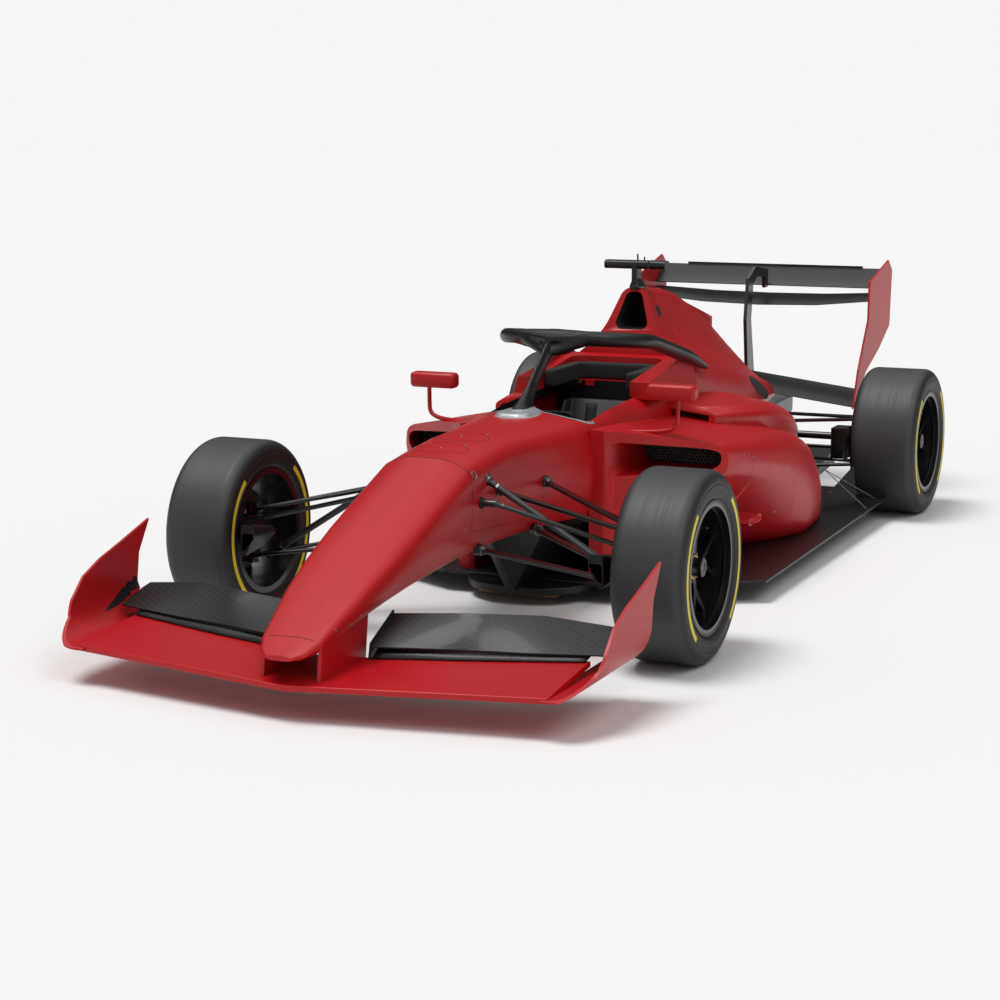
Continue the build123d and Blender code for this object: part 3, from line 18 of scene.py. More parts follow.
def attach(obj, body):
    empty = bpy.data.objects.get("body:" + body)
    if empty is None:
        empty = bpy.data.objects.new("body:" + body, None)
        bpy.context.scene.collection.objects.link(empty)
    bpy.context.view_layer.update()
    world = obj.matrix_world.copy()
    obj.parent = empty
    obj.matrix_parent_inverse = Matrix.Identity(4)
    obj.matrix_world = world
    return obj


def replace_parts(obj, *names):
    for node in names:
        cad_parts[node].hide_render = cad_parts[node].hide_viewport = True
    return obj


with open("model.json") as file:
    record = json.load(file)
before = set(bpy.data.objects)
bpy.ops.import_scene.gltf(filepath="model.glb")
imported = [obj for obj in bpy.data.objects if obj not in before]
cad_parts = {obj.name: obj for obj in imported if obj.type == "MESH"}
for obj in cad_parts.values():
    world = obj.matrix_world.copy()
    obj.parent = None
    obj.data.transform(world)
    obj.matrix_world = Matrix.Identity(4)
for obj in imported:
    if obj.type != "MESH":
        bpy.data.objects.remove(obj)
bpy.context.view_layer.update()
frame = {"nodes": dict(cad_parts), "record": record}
NODES = frame["nodes"]
BODY_OF = {node: body for body, nodes in frame["record"]["behaviour"]["bodies"].items()
           for node in nodes}
MM = 0.001
AXLE_BACK = 1326.5
DOWN = Vector((0, 0, -1))
# Lines that feel for the car's surfaces start this far out, or this high up
RAY_START = 1500
SIDES = (("left", 1), ("right", -1))

# Camera, fitted to the photo's car
CAMERA_PLACE = (3.101, -7.876, 1.774)
CAMERA_AZIMUTH = 24.001
CAMERA_ELEVATION = 10.225
CAMERA_ROLL = -0.162
CAMERA_LENS = 79.787
SENSOR_WIDTH = 36
CAMERA_SEES = (0.1, 200)

# Studio
FLOOR_SIZE = 60
PAPER_COLOUR = "#F6F6F6"
ROOM_STRENGTH = 0.3
# columns: strength, spread and the tilts about X and Y in degrees
LAMPS = ((1.82, 26, 10, -14), (0.6, 34, 16, 34))

# columns: end, axle's Y, distance of the tyre's outer face from the middle, and the tyre's width
AXLES = (("front", 0, 927, 246), ("rear", 2880, 942.5, 281))
AXLE_HEIGHT = 313
SPOKE_FACE_IN = 71
DISC_IN = 115
Wheel = namedtuple("Wheel", "corner body end hand side axle_y outer width")
WHEELS = [Wheel(f"{end}_{hand}", f"wheel_{end}_{hand}", end, hand, side, *sizes)
          for end, *sizes in AXLES for hand, side in SIDES]

# Cuts that give the cockpit surround its upright front and falling top
# columns: Y and Z of a point on the cut, and the direction that is cut off
SURROUND_CUTS = ((1185, 700, (0, -1, 0)), (1185, 734, (0, -0.12, 1)))

# columns: an arm's foot on the tub or the gearbox, and its joint at the wheel
FRONT_FEET = (
    ((172, 6, 512), (738, 8, 384)), ((204, 350, 487), (738, 8, 384)),
    ((152, -94, 330), (750, -8, 222)), ((176, 330, 322), (750, -8, 222)),
    ((160, -60, 560), (693, -8, 225)),
)
REAR_FEET = (
    ((80, 2630, 385), (753.5, 2890, 402)), ((70, 3000, 385), (753.5, 2890, 402)),
    ((80, 2630, 190), (765.5, 2870, 206)), ((70, 3050, 190), (765.5, 2870, 206)),
)


def at(x, y, z):
    """A place on the car's drawing as a point of the scene."""
    return Vector((x, y - AXLE_BACK, z)) * MM


def sided(side, place):
    """A place given for the car's left, on one of its sides."""
    x, y, z = place
    return at(side * x, y, z)


def linear(code):
    """An sRGB hex colour as linear values."""
    shares = [int(code[start:start + 2], 16) / 255 for start in (1, 3, 5)]
    return (*[s / 12.92 if s <= 0.04045 else ((s + 0.055) / 1.055) ** 2.4 for s in shares], 1)


def add(tree, kind, settings=None, inputs=None):
    """Adds a node with its settings, and sets or links its inputs."""
    made = tree.nodes.new("ShaderNode" + kind)
    for name, value in (settings or {}).items():
        setattr(made, name, value)
    for name, value in (inputs or {}).items():
        if isinstance(value, bpy.types.NodeSocket):
            tree.links.new(value, made.inputs[name])
        else:
            made.inputs[name].default_value = value
    return made


COAT_ROUGHNESS = 0.12
# How far a grained finish strays from its roughness
GRAIN_SPREAD = 0.07


def surface(name, colour, roughness, metallic=0.0, coat=0.0, specular=0.5):
    """A material with one surface shader and its tree, and its plain settings."""
    material = bpy.data.materials.new(name)
    material.use_nodes = True
    tree = material.node_tree
    tree.nodes.clear()
    output = add(tree, "OutputMaterial")
    shader = add(tree, "BsdfPrincipled", inputs={
        "Base Color": linear(colour), "Roughness": roughness, "Metallic": metallic,
        "Coat Weight": coat, "Coat Roughness": COAT_ROUGHNESS, "Specular IOR Level": specular})
    tree.links.new(shader.outputs[0], output.inputs["Surface"])
    return material, tree, shader


def bumped(tree, shader, height, depth, strength=1.0):
    """Raises a shader's surface by a height pattern, of a depth in metres."""
    bump = add(tree, "Bump", inputs={"Strength": strength, "Distance": depth, "Height": height})
    tree.links.new(bump.outputs["Normal"], shader.inputs["Normal"])


# Materials

# Sizes of the finishes' patterns in millimetres
CLOUD_SIZE, PEEL_SIZE, PEEL_DEPTH = 588, 4, 0.1
CLOTH_DEPTH = 0.4
WEAR_RING, WEAR_DEPTH = 6.25, 0.3
# The tread's scrubbed grey begins between these distances from the axle
TREAD_EDGE, TREAD_FULL = 297, 307
BOARD_GRAIN = (1000 / 60, 500, 1000 / 300)


def satin_red_paint():
    """Satin lacquer sprayed over a flatted laminate: a broad soft highlight with faint orange peel.

    Real peel is about 2 mm across, and it is drawn at 4 mm so that it shows.
    """
    material, tree, shader = surface("satin_red_paint", "#B4111B", 0.36, specular=0.36)
    coords = add(tree, "TexCoord").outputs["Object"]
    cloud = add(tree, "TexNoise", inputs={"Vector": coords, "Scale": 1 / (CLOUD_SIZE * MM), "Detail": 3})
    tint = add(tree, "ValToRGB", inputs={"Fac": cloud.outputs["Fac"]})
    tint.color_ramp.elements[0].color = linear("#AE1019")
    tint.color_ramp.elements[1].color = linear("#BC131D")
    tree.links.new(tint.outputs["Color"], shader.inputs["Base Color"])
    peel = add(tree, "TexNoise", inputs={"Vector": coords, "Scale": 1 / (PEEL_SIZE * MM), "Detail": 2})
    bumped(tree, shader, peel.outputs["Fac"], PEEL_DEPTH * MM)
    return material


def twill_carbon(name, dark, pale, tow_mm, roughness):
    """Two by two twill laid in clear resin: bands of thread that catch the light in turns, with painted
    sheen: the threads that lie on top get a paler tint.

    The threads are about 2 mm wide on the real cloth, and are drawn wider so that they show.
    """
    material, tree, shader = surface(name, dark, roughness, coat=0.1, specular=0.3)
    place = add(tree, "SeparateXYZ", inputs={"Vector": add(tree, "TexCoord").outputs["Object"]})
    runs = []
    for axis in ("X", "Y"):
        lean = add(tree, "Math", {"operation": "ADD"}, {0: place.outputs[axis], 1: place.outputs["Z"]})
        threads = add(tree, "Math", {"operation": "DIVIDE"}, {0: lean.outputs[0], 1: tow_mm * MM})
        number = add(tree, "Math", {"operation": "FLOOR"}, {0: threads.outputs[0]})
        share = add(tree, "Math", {"operation": "FRACT"}, {0: threads.outputs[0]})
        turn = add(tree, "Math", {"operation": "MULTIPLY"}, {0: share.outputs[0], 1: pi})
        crown = add(tree, "Math", {"operation": "SINE"}, {0: turn.outputs[0]})
        runs.append((number.outputs[0], crown.outputs[0]))
    count = add(tree, "Math", {"operation": "ADD"}, {0: runs[0][0], 1: runs[1][0]})
    step = add(tree, "Math", {"operation": "WRAP"}, {0: count.outputs[0], 1: 0, 2: 4})
    over = add(tree, "Math", {"operation": "LESS_THAN"}, {0: step.outputs[0], 1: 1.5})
    height = add(tree, "Mix", {"data_type": "FLOAT"},
                 {0: over.outputs[0], 2: runs[0][1], 3: runs[1][1]})
    # Painted sheen: the threads that lie on top take the paler tint, for the light they catch
    tint = add(tree, "Mix", {"data_type": "RGBA"},
               {0: over.outputs[0], 6: linear(dark), 7: linear(pale)})
    tree.links.new(tint.outputs[2], shader.inputs["Base Color"])
    bumped(tree, shader, height.outputs[0], CLOTH_DEPTH * MM, 0.35)
    return material


def slick_rubber(name, axle_y):
    """Moulded slick rubber: a scrubbed grey tread with fine rings of wear, and darker clean walls."""
    material, tree, shader = surface(name, "#1B1B1C", 0.55)
    place = add(tree, "SeparateXYZ", inputs={"Vector": add(tree, "TexCoord").outputs["Object"]})
    aft = add(tree, "Math", {"operation": "SUBTRACT"}, {0: place.outputs["Y"], 1: at(0, axle_y, 0).y})
    lift = add(tree, "Math", {"operation": "SUBTRACT"}, {0: place.outputs["Z"], 1: AXLE_HEIGHT * MM})
    spot = add(tree, "CombineXYZ", inputs={"X": aft.outputs[0], "Y": lift.outputs[0]})
    radius = add(tree, "VectorMath", {"operation": "LENGTH"}, {0: spot.outputs[0]}).outputs["Value"]
    turn = add(tree, "Math", {"operation": "ARCTAN2"}, {0: lift.outputs[0], 1: aft.outputs[0]})
    ring = add(tree, "CombineXYZ", inputs={"X": place.outputs["X"], "Y": radius})
    rings = add(tree, "VectorMath", {"operation": "SCALE"},
                {0: ring.outputs[0], "Scale": 1 / (WEAR_RING * MM)})
    bend = add(tree, "CombineXYZ", inputs={"Z": turn.outputs[0]})
    worn = add(tree, "VectorMath", {"operation": "ADD"}, {0: rings.outputs[0], 1: bend.outputs[0]})
    wear = add(tree, "TexNoise", inputs={"Vector": worn.outputs[0], "Scale": 1.0, "Detail": 3})
    tread = add(tree, "MapRange", inputs={
        "Value": radius, "From Min": TREAD_EDGE * MM, "From Max": TREAD_FULL * MM})
    tint = add(tree, "Mix", {"data_type": "RGBA"},
               {0: tread.outputs["Result"], 6: linear("#161617"), 7: linear("#2F3031")})
    tree.links.new(tint.outputs[2], shader.inputs["Base Color"])
    rough = add(tree, "MapRange", inputs={"Value": wear.outputs["Fac"], "To Min": 0.42, "To Max": 0.66})
    tree.links.new(rough.outputs["Result"], shader.inputs["Roughness"])
    bumped(tree, shader, wear.outputs["Fac"], WEAR_DEPTH * MM, 0.5)
    return material


def grained(name, colour, roughness, metallic=0.0, grain_mm=3, depth_mm=0.03, coat=0.0):
    """A finish of one colour, whose grain has a size and a depth in millimetres."""
    material, tree, shader = surface(name, colour, roughness, metallic, coat)
    coords = add(tree, "TexCoord").outputs["Object"]
    grain = add(tree, "TexNoise", inputs={"Vector": coords, "Scale": 1 / (grain_mm * MM), "Detail": 3})
    spread = add(tree, "MapRange", inputs={
        "Value": grain.outputs["Fac"], "To Min": roughness - GRAIN_SPREAD,
        "To Max": roughness + GRAIN_SPREAD})
    tree.links.new(spread.outputs["Result"], shader.inputs["Roughness"])
    bumped(tree, shader, grain.outputs["Fac"], depth_mm * MM)
    return material


def laminated_beech():
    """Resin pressed beech layers: brown with thin darker lines along the board, scuffed."""
    material, tree, shader = surface("laminated_beech", "#6A4A2C", 0.62)
    coords = add(tree, "TexCoord").outputs["Object"]
    stretch = [1 / (size * MM) for size in BOARD_GRAIN]
    long = add(tree, "Mapping", inputs={"Vector": coords, "Scale": stretch})
    grain = add(tree, "TexNoise", inputs={"Vector": long.outputs[0], "Scale": 1, "Detail": 4})
    tint = add(tree, "ValToRGB", inputs={"Fac": grain.outputs["Fac"]})
    tint.color_ramp.elements[0].color = linear("#4E3520")
    tint.color_ramp.elements[1].color = linear("#7E5A37")
    tree.links.new(tint.outputs["Color"], shader.inputs["Base Color"])
    return material


RED_PAINT = satin_red_paint()
# Clear coated cloth on the wings, halo and floor: near black, with a soft grey diagonal shimmer painted as a
# paler tint on the top threads
WING_CARBON = twill_carbon("clear_coated_twill", "#0C0D0E", "#1B1C1E", 8, 0.38)
# The front flaps' cloth lies in a matt resin, so its weave stands out a little; the paler tint on its top
# threads is painted sheen
FLAP_CARBON = twill_carbon("matt_twill", "#101112", "#202123", 9, 0.45)
# Satin black paint on steel tube: black with a thin bright line along each arm
ARM_PAINT = grained("satin_black_steel_tube", "#0E0E0F", 0.3, coat=0.3)
# Ground and polished steel: small bright glints at the ends of the arms
POLISHED_STEEL = grained("polished_steel", "#8E8F91", 0.26, 1.0)
# Dipped synthetic rubber: dull black with no glint
BOOT_RUBBER = grained("boot_rubber", "#151515", 0.7)
TYRE_RUBBER = {end: slick_rubber("slick_rubber_" + end, axle_y) for end, axle_y, *_ in AXLES}
# Screen printed ink on rubber: flat strong yellow
SIDEWALL_INK = grained("sidewall_ink", "#E8D21C", 0.55)
# Forged magnesium under satin black paint: dark with soft broad highlights
RIM_PAINT = grained("satin_black_magnesium", "#0D0D0E", 0.33, coat=0.25)
# Turned magnesium at the rim's edge: dark grey metal with a thin bright ring
TURNED_RIM = grained("turned_magnesium", "#2C2D2F", 0.38, 1.0)
# Gold anodised aluminium: a warm bright ring at the hub
GOLD_ALLOY = grained("gold_anodised_aluminium", "#B58A3A", 0.28, 1.0)
# Ground cast iron: brown grey, with dull metal sheen
DISC_IRON = grained("ground_cast_iron", "#5B5A59", 0.4, 1.0)
# Sand cast aluminium: pale grey, dull, with coarse grain
CAST_ALLOY = grained("sand_cast_aluminium", "#86888B", 0.5, 1.0, 2, 0.15)
# Woven wire under black paint: small dark cells with a faint glint
SCREEN_WIRE = grained("painted_wire_mesh", "#77797B", 0.45, 0.4)
# Painted shade: a near black laid on the inner faces of ducts, inlets and outlets, where only shade falls
DUCT_SHADE = grained("painted_duct_shade", "#070707", 0.9)
# Clear red polycarbonate over lamps: deep red and glossy
RED_LENS = grained("red_polycarbonate", "#7A0A0E", 0.12, coat=0.6)
# The same plastic in small domes: rows of brighter red dots
LAMP_DOME = grained("lamp_dome", "#D23A3A", 0.1, coat=0.8)
WEAR_BOARD = laminated_beech()
# Hand laid shell under a matt skin: black and dull
SEAT_SHELL = grained("moulded_seat_shell", "#161617", 0.58, 0, 1.5, 0.1)
# Foam under stitched synthetic suede: black, soft and without glint
HEAD_FOAM = grained("suede_covered_foam", "#141415", 0.85, 0, 1.2, 0.15)
# The gap between two painted panels: a thin dark red line
PANEL_GAP = grained("panel_gap", "#2A0508", 0.8)
# Grey satin lacquer on the hoop's foot and the cockpit's rim
GREY_LACQUER = grained("grey_satin_lacquer", "#A9ACAF", 0.34, 0.35)
# Silvered glass: it mirrors the studio
MIRROR_GLASS = grained("silvered_glass", "#D5D8DA", 0.05, 1.0, 30, 0.0)
# Zinc plated screws: small grey dots
SCREW_STEEL = grained("zinc_plated_steel", "#8F9194", 0.35, 1.0)
# Moulded switch caps in plain colours
CAP_COLOURS = [grained("switch_cap_" + name, colour, 0.4) for name, colour in (
    ("green", "#2E8B45"), ("blue", "#2D5FA8"), ("yellow", "#D8B92B"), ("white", "#D9D9D6"))]
# Toughened glass over a dark display: near black and glossy
DISPLAY_GLASS = grained("display_glass", "#0A0F14", 0.08, coat=0.8)

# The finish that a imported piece's material slot asks for
FINISHES = {
    "red_paint": RED_PAINT, "carbon": WING_CARBON, "black_satin": ARM_PAINT, "rim_black": RIM_PAINT,
    "cast_alloy": CAST_ALLOY, "lamp": RED_LENS, "board": WEAR_BOARD, "padding": SEAT_SHELL,
}


# Making pieces

# Points nearer than these, in metres, are one: in new pieces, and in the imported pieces
WELD_DISTANCE, MERGE_DISTANCE = 0.000002, 0.00001
# In degrees: faces that count as one flat face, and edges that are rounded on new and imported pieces
FLAT_ANGLE, SHARP_ANGLE, PACKED_SHARP_ANGLE = 0.4, 25, 38


def piece(name, shape, finish, body="chassis", smooth=38, outward=True):
    """Makes an object of a finished shape, riding on a body."""
    bmesh.ops.remove_doubles(shape, verts=shape.verts, dist=WELD_DISTANCE)
    if outward:
        bmesh.ops.recalc_face_normals(shape, faces=shape.faces)
    mesh = bpy.data.meshes.new(name)
    shape.to_mesh(mesh)
    shape.free()
    for face in mesh.polygons:
        face.use_smooth = True
    mesh.set_sharp_from_angle(angle=radians(smooth))
    mesh.materials.append(finish)
    made = bpy.data.objects.new(name, mesh)
    bpy.context.scene.collection.objects.link(made)
    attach(made, body)
    return made


def pointing(place, way):
    """A turn and a place that point a shape's Z along a direction."""
    return Matrix.Translation(place) @ Vector(way).to_track_quat("Z", "Y").to_matrix().to_4x4()


def rod(shape, start, end, radius, segments=16):
    """A round rod between two points."""
    start, end = Vector(start), Vector(end)
    bmesh.ops.create_cone(shape, cap_ends=True, segments=segments, radius1=radius, radius2=radius,
                          depth=(end - start).length, matrix=pointing((start + end) / 2, end - start))


def block(shape, first, last):
    """A box between two opposite corners."""
    low = Vector([min(pair) for pair in zip(first, last)])
    high = Vector([max(pair) for pair in zip(first, last)])
    size = Matrix.Diagonal((*(high - low), 1))
    bmesh.ops.create_cube(shape, size=1, matrix=Matrix.Translation((low + high) / 2) @ size)


def rounded_off(shape, width, segments=3):
    """Rounds every sharp edge of a shape."""
    edges = [edge for edge in shape.edges
             if edge.is_manifold and edge.calc_face_angle(0) > radians(SHARP_ANGLE)]
    bmesh.ops.bevel(shape, geom=edges, offset=width, offset_type="OFFSET", affect="EDGES",
                    segments=segments, profile=0.5, material=-1, clamp_overlap=True)


def turned(shape, profile, place, axis, steps=64):
    """Spins a profile of distances along and from an axis, in millimetres, into a round form."""
    way = Vector(axis).normalized()
    side = way.orthogonal().normalized()
    centre = Vector(place)
    spots = [shape.verts.new(centre + (way * along + side * away) * MM) for along, away in profile]
    lines = [shape.edges.new(ends) for ends in zip(spots, spots[1:])]
    bmesh.ops.spin(shape, geom=spots + lines, cent=centre, axis=way, angle=2 * pi, steps=steps,
                   use_merge=True)


def finished(pattern):
    """The final mesh of a helper object as a shape. The helper goes."""
    bpy.context.view_layer.update()
    shape = bmesh.new()
    shape.from_mesh(bpy.data.meshes.new_from_object(
        pattern.evaluated_get(bpy.context.evaluated_depsgraph_get())))
    bpy.data.objects.remove(pattern)
    return shape


def absorb(shape, other):
    """Adds another shape to a shape. The other one goes."""
    mesh = bpy.data.meshes.new("absorbed")
    other.to_mesh(mesh)
    other.free()
    shape.from_mesh(mesh)
    bpy.data.meshes.remove(mesh)


def pipe(name, route, radius, finish):
    """A round pipe along a smooth route through points."""
    curve = bpy.data.curves.new(name, "CURVE")
    curve.dimensions = "3D"
    curve.bevel_depth, curve.bevel_resolution, curve.use_fill_caps = radius, 4, True
    line = curve.splines.new("NURBS")
    line.points.add(len(route) - 1)
    for point, place in zip(line.points, route):
        point.co = (*place, 1)
    line.order_u, line.use_endpoint_u, line.resolution_u = 3, True, 8
    pattern = bpy.data.objects.new(name + "_route", curve)
    bpy.context.scene.collection.objects.link(pattern)
    piece(name, finished(pattern), finish)


def thickened(made, thick_mm, offset=0):
    """Gives a sheet a thickness, to both sides or to one."""
    thick = made.modifiers.new("thick", "SOLIDIFY")
    thick.thickness, thick.offset = thick_mm * MM, offset


# Laying trim on the car's surfaces


def skin(*names):
    """The surfaces of some pieces, to lay trim on."""
    shape = bmesh.new()
    for name in names:
        shape.from_mesh(NODES[name].data)
    tree = BVHTree.FromBMesh(shape)
    shape.free()
    return tree


def landing(tree, start, way):
    """Where a line from a point meets a surface, and the surface's direction there."""
    place, normal, _, _ = tree.ray_cast(Vector(start), Vector(way))
    if place is None:
        raise ValueError("trim misses the car at " + str([round(v / MM) for v in start]))
    if normal.dot(Vector(way)) > 0:
        normal = -normal
    return place, normal


def paced(corners, pace=12):
    """Points at a pace in millimetres along lines between corners."""
    points = []
    for first, last in zip(corners, corners[1:]):
        first, last = Vector(first), Vector(last)
        count = max(1, round((last - first).length / pace))
        points += [first.lerp(last, number / count) for number in range(count)]
    return points + [Vector(corners[-1])]


def strip(shape, tree, lines, width, lift=0.4, end_width=None):
    """A thin ribbon laid where a row of lines meets a surface, from one width to another."""
    route = [landing(tree, start, way) for start, way in lines]
    count = len(route) - 1
    made = bmesh.ops.create_grid(shape, x_segments=count, y_segments=1, size=1)["verts"]
    columns = sorted({round(vert.co.x, 5) for vert in made})
    for vert in made:
        number = columns.index(round(vert.co.x, 5))
        place, normal = route[number]
        ahead = route[min(number + 1, count)][0] - route[max(number - 1, 0)][0]
        side = normal.cross(ahead.normalized()).normalized()
        wide = width + ((end_width or width) - width) * number / count
        edge = side * (wide / 2 * (1 if vert.co.y > 0 else -1))
        vert.co = place + (normal * lift + edge) * MM


def from_above(points):
    """Lines that fall on the car at rows of X and Y."""
    return [(at(x, y, RAY_START), DOWN) for x, y in points]


def from_side(points, side):
    """Lines that come in from one side of the car at rows of Y and Z."""
    return [(at(side * RAY_START, y, z), Vector((-side, 0, 0))) for y, z in points]


def around(y, level, half_sweep, count, reach=700):
    """Lines towards the car's middle at a level, fanned over the top of a section."""
    lines = []
    for number in range(count + 1):
        turn = radians(half_sweep * (2 * number / count - 1))
        out = Vector((sin(turn), 0, cos(turn)))
        lines.append((at(0, y, level) + out * reach * MM, -out))
    return lines


def studs(name, tree, lines, radius, height, finish):
    """Round screw heads with a hollow, set on a surface where lines meet it."""
    profile = ((-1, 0), (-1, radius), (height * 0.6, radius), (height, radius * 0.8),
               (height, radius * 0.45), (height * 0.3, radius * 0.35), (height * 0.3, 0))
    shape = bmesh.new()
    for start, way in lines:
        turned(shape, profile, *landing(tree, start, way), 16)
    piece(name, shape, finish)


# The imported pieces' own skins

# columns: node, finish or None for its slot's own, smoothing angle in degrees, rounding of its edges
SKINS = (
    ("nose", None, 32, 1.5), ("monocoque", None, 32, 0), ("cockpit_surround", None, 30, 5),
    ("engine_cover", None, 32, 0), ("sidepod_left", None, 32, 0), ("sidepod_right", None, 32, 0),
    ("front_wing_main", None, 30, 4), ("front_endplates", None, 30, 1.6),
    ("rear_endplates", None, 30, 2), ("floor", None, 30, 2.5),
    ("splitter", None, 30, 3), ("front_wing_flaps", FLAP_CARBON, 30, 1.2),
    ("rear_wing_main", None, 30, 1), ("rear_wing_flap", None, 30, 1), ("beam_wing", None, 30, 1),
    ("rear_wing_mast", ARM_PAINT, 30, 3), ("camera_bar", None, 30, 0),
    ("steering_wheel", None, 30, 3), ("keel", None, 30, 3), ("diffuser", None, 30, 1),
    ("front_upper_wishbones", None, 35, 0), ("front_lower_wishbones", None, 35, 0),
    ("rear_wishbones", None, 35, 0), ("steering_rack", None, 35, 0),
    ("front_upright_left", None, 30, 0), ("front_upright_right", None, 30, 0),
    ("rear_uprights", None, 30, 0), ("drive_shaft_left", None, 35, 0),
    ("drive_shaft_right", None, 35, 0), ("rim_front_left", None, 30, 0),
    ("rim_front_right", None, 30, 0), ("rim_rear_left", None, 30, 0), ("rim_rear_right", None, 30, 0),
    ("engine_block", None, 30, 4), ("gearbox", None, 30, 0), ("rack_bushes", None, 35, 0),
    ("rain_light", None, 30, 5), ("plank", None, 30, 1.5), ("seat", None, 30, 5),
)
SLOT_OF = {row["node"]: row["material_slot"] for row in frame["record"]["subparts"]}


def merged(name):
    """A node's triangles as one shape, with flat neighbours joined."""
    shape = bmesh.new()
    shape.from_mesh(NODES[name].data)
    bmesh.ops.remove_doubles(shape, verts=shape.verts, dist=MERGE_DISTANCE)
    bmesh.ops.dissolve_limit(shape, angle_limit=radians(FLAT_ANGLE), verts=shape.verts,
                             edges=shape.edges, use_dissolve_boundaries=False)
    return shape


def skinned(name, shape, finish, smooth, edge):
    """The piece that stands for a node, with its edges rounded."""
    made = piece(name + "_skin", shape, finish, BODY_OF[name], smooth, False)
    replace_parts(made, name)
    if edge:
        soft = made.modifiers.new("edge", "BEVEL")
        soft.width, soft.segments, soft.limit_method = edge * MM, 3, "ANGLE"
        soft.angle_limit, soft.use_clamp_overlap = radians(PACKED_SHARP_ANGLE), True
    return made


def lined(made, finish, inside):
    """Gives a second finish to the faces whose middles and directions pass a test."""
    made.data.materials.append(finish)
    for face in made.data.polygons:
        x, y, z = face.center / MM
        if inside(x, y + AXLE_BACK, z, face.normal):
            face.material_index = 1


# Where a second finish begins; in the air box, the cover and the pod mouths it is painted shade

# In the tests, x * out.x is below zero where a face looks towards the car's middle
TUB_CLOTH_TOP = 312
FRONT_SCOOP_BACK, REAR_SCOOP_BACK = -100, 2810
AIR_BOX_HALF = 80
AIR_BOX_LOW, AIR_BOX_SILL, AIR_BOX_ROOF, AIR_BOX_HIGH = 870, 885, 1000, 1030
AIR_BOX_BACK, AIR_BOX_WALLS_END = 1800, 1890
COVER_FOOT_TOP, COVER_INNER_HALF = 835, 250
POD_MOUTH_IN, POD_MOUTH_OUT = 290, 640
POD_MOUTH_LOW, POD_MOUTH_HIGH = 440, 560
POD_LIP, POD_MOUTH_FRONT, POD_MOUTH_BACK = 1030, 1040, 1100
COCKPIT_FRONT, COCKPIT_BACK = 310, 1530
FOOTWELL_INNER_HALF, COCKPIT_HALF = 60, 225
COCKPIT_FLOOR_TOP, COCKPIT_ENDS_TOP, COCKPIT_RIM = 420, 650, 682


def in_air_box(x, y, z, out):
    """The inner faces of the engine's air inlet, without its red rim: these get painted shade."""
    roof = out.z < -0.5 and z > AIR_BOX_ROOF
    sill = out.z > 0.5 and z < AIR_BOX_SILL
    walls = (x * out.x < -0.5 or roof or sill) and y < AIR_BOX_WALLS_END
    back = out.y < -0.7 and y > AIR_BOX_BACK
    return abs(x) < AIR_BOX_HALF and AIR_BOX_LOW < z < AIR_BOX_HIGH and (walls or back)


def under_cover(x, y, z, out):
    """The inner faces of the cover's foot, and its open tail: these get painted shade."""
    inner = x * out.x < -1 and abs(x) < COVER_INNER_HALF
    return z < COVER_FOOT_TOP and (out.y > 0.7 or out.z < -0.6 or inner)


def in_pod_mouth(x, y, z, out):
    """The back of the side inlets, and the ends of their outer walls: these get painted shade."""
    back = POD_MOUTH_FRONT < y < POD_MOUTH_BACK and out.y < -0.9
    ends = POD_LIP < y < POD_MOUTH_BACK and x * out.x < -200
    return POD_MOUTH_IN < abs(x) < POD_MOUTH_OUT and POD_MOUTH_LOW < z < POD_MOUTH_HIGH and (back or ends)


def in_cockpit(x, y, z, out):
    """The inner walls and the floor of the cockpit and the footwell."""
    walls = abs(x) > FOOTWELL_INNER_HALF and x * out.x < -0.3 * abs(x)
    bottom = out.z > 0.5 and z < COCKPIT_FLOOR_TOP
    ends = abs(out.y) > 0.8 and z < COCKPIT_ENDS_TOP
    return (COCKPIT_FRONT < y < COCKPIT_BACK and abs(x) < COCKPIT_HALF and z < COCKPIT_RIM
            and (walls or bottom or ends))


def split(shape, place, lean, clear=False):
    """Splits a shape along a plane. It can clear the far side and close the cut."""
    cut = bmesh.ops.bisect_plane(
        shape, geom=[*shape.verts, *shape.edges, *shape.faces], dist=MERGE_DISTANCE,
        plane_co=place, plane_no=lean, clear_outer=clear)["geom_cut"]
    if clear:
        bmesh.ops.holes_fill(shape, edges=[item for item in cut if isinstance(item, bmesh.types.BMEdge)])


def make_skins():
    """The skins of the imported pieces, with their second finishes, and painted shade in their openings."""
    made = {}
    for name, finish, smooth, edge in SKINS:
        shape = merged(name)
        if name == "monocoque":
            split(shape, at(0, 0, TUB_CLOTH_TOP), (0, 0, 1))
        if name == "cockpit_surround":
            for y, z, lean in SURROUND_CUTS:
                split(shape, at(0, y, z), lean, True)
        made[name] = skinned(name, shape, finish or FINISHES[SLOT_OF[name]], smooth, edge)
    lined(made["monocoque"], WING_CARBON, lambda x, y, z, out: z < TUB_CLOTH_TOP or in_cockpit(x, y, z, out))
    # Painted shade inside the air inlet, under the cover's foot and in its open tail
    lined(made["engine_cover"], DUCT_SHADE, lambda *spot: in_air_box(*spot) or under_cover(*spot))
    for hand, _ in SIDES:
        # Painted shade at the back of the side inlets
        lined(made["sidepod_" + hand], DUCT_SHADE, in_pod_mouth)
        lined(made["front_upright_" + hand], WING_CARBON, lambda x, y, z, out: y < FRONT_SCOOP_BACK)
    lined(made["rear_uprights"], ARM_PAINT, lambda x, y, z, out: y < REAR_SCOOP_BACK)


# Halo

# columns: level of each ring of the flare at the pillar's foot, and its half width and half length
FLARE_RINGS = ((765, 16, 52), (735, 18, 55), (712, 23, 62), (697, 33, 74), (688, 50, 96), (680, 76, 124),
               (670, 104, 146))
FLARE_TOP_Y = 701
PILLAR_FOOT_Y, PILLAR_RAKE = 578, 1.298
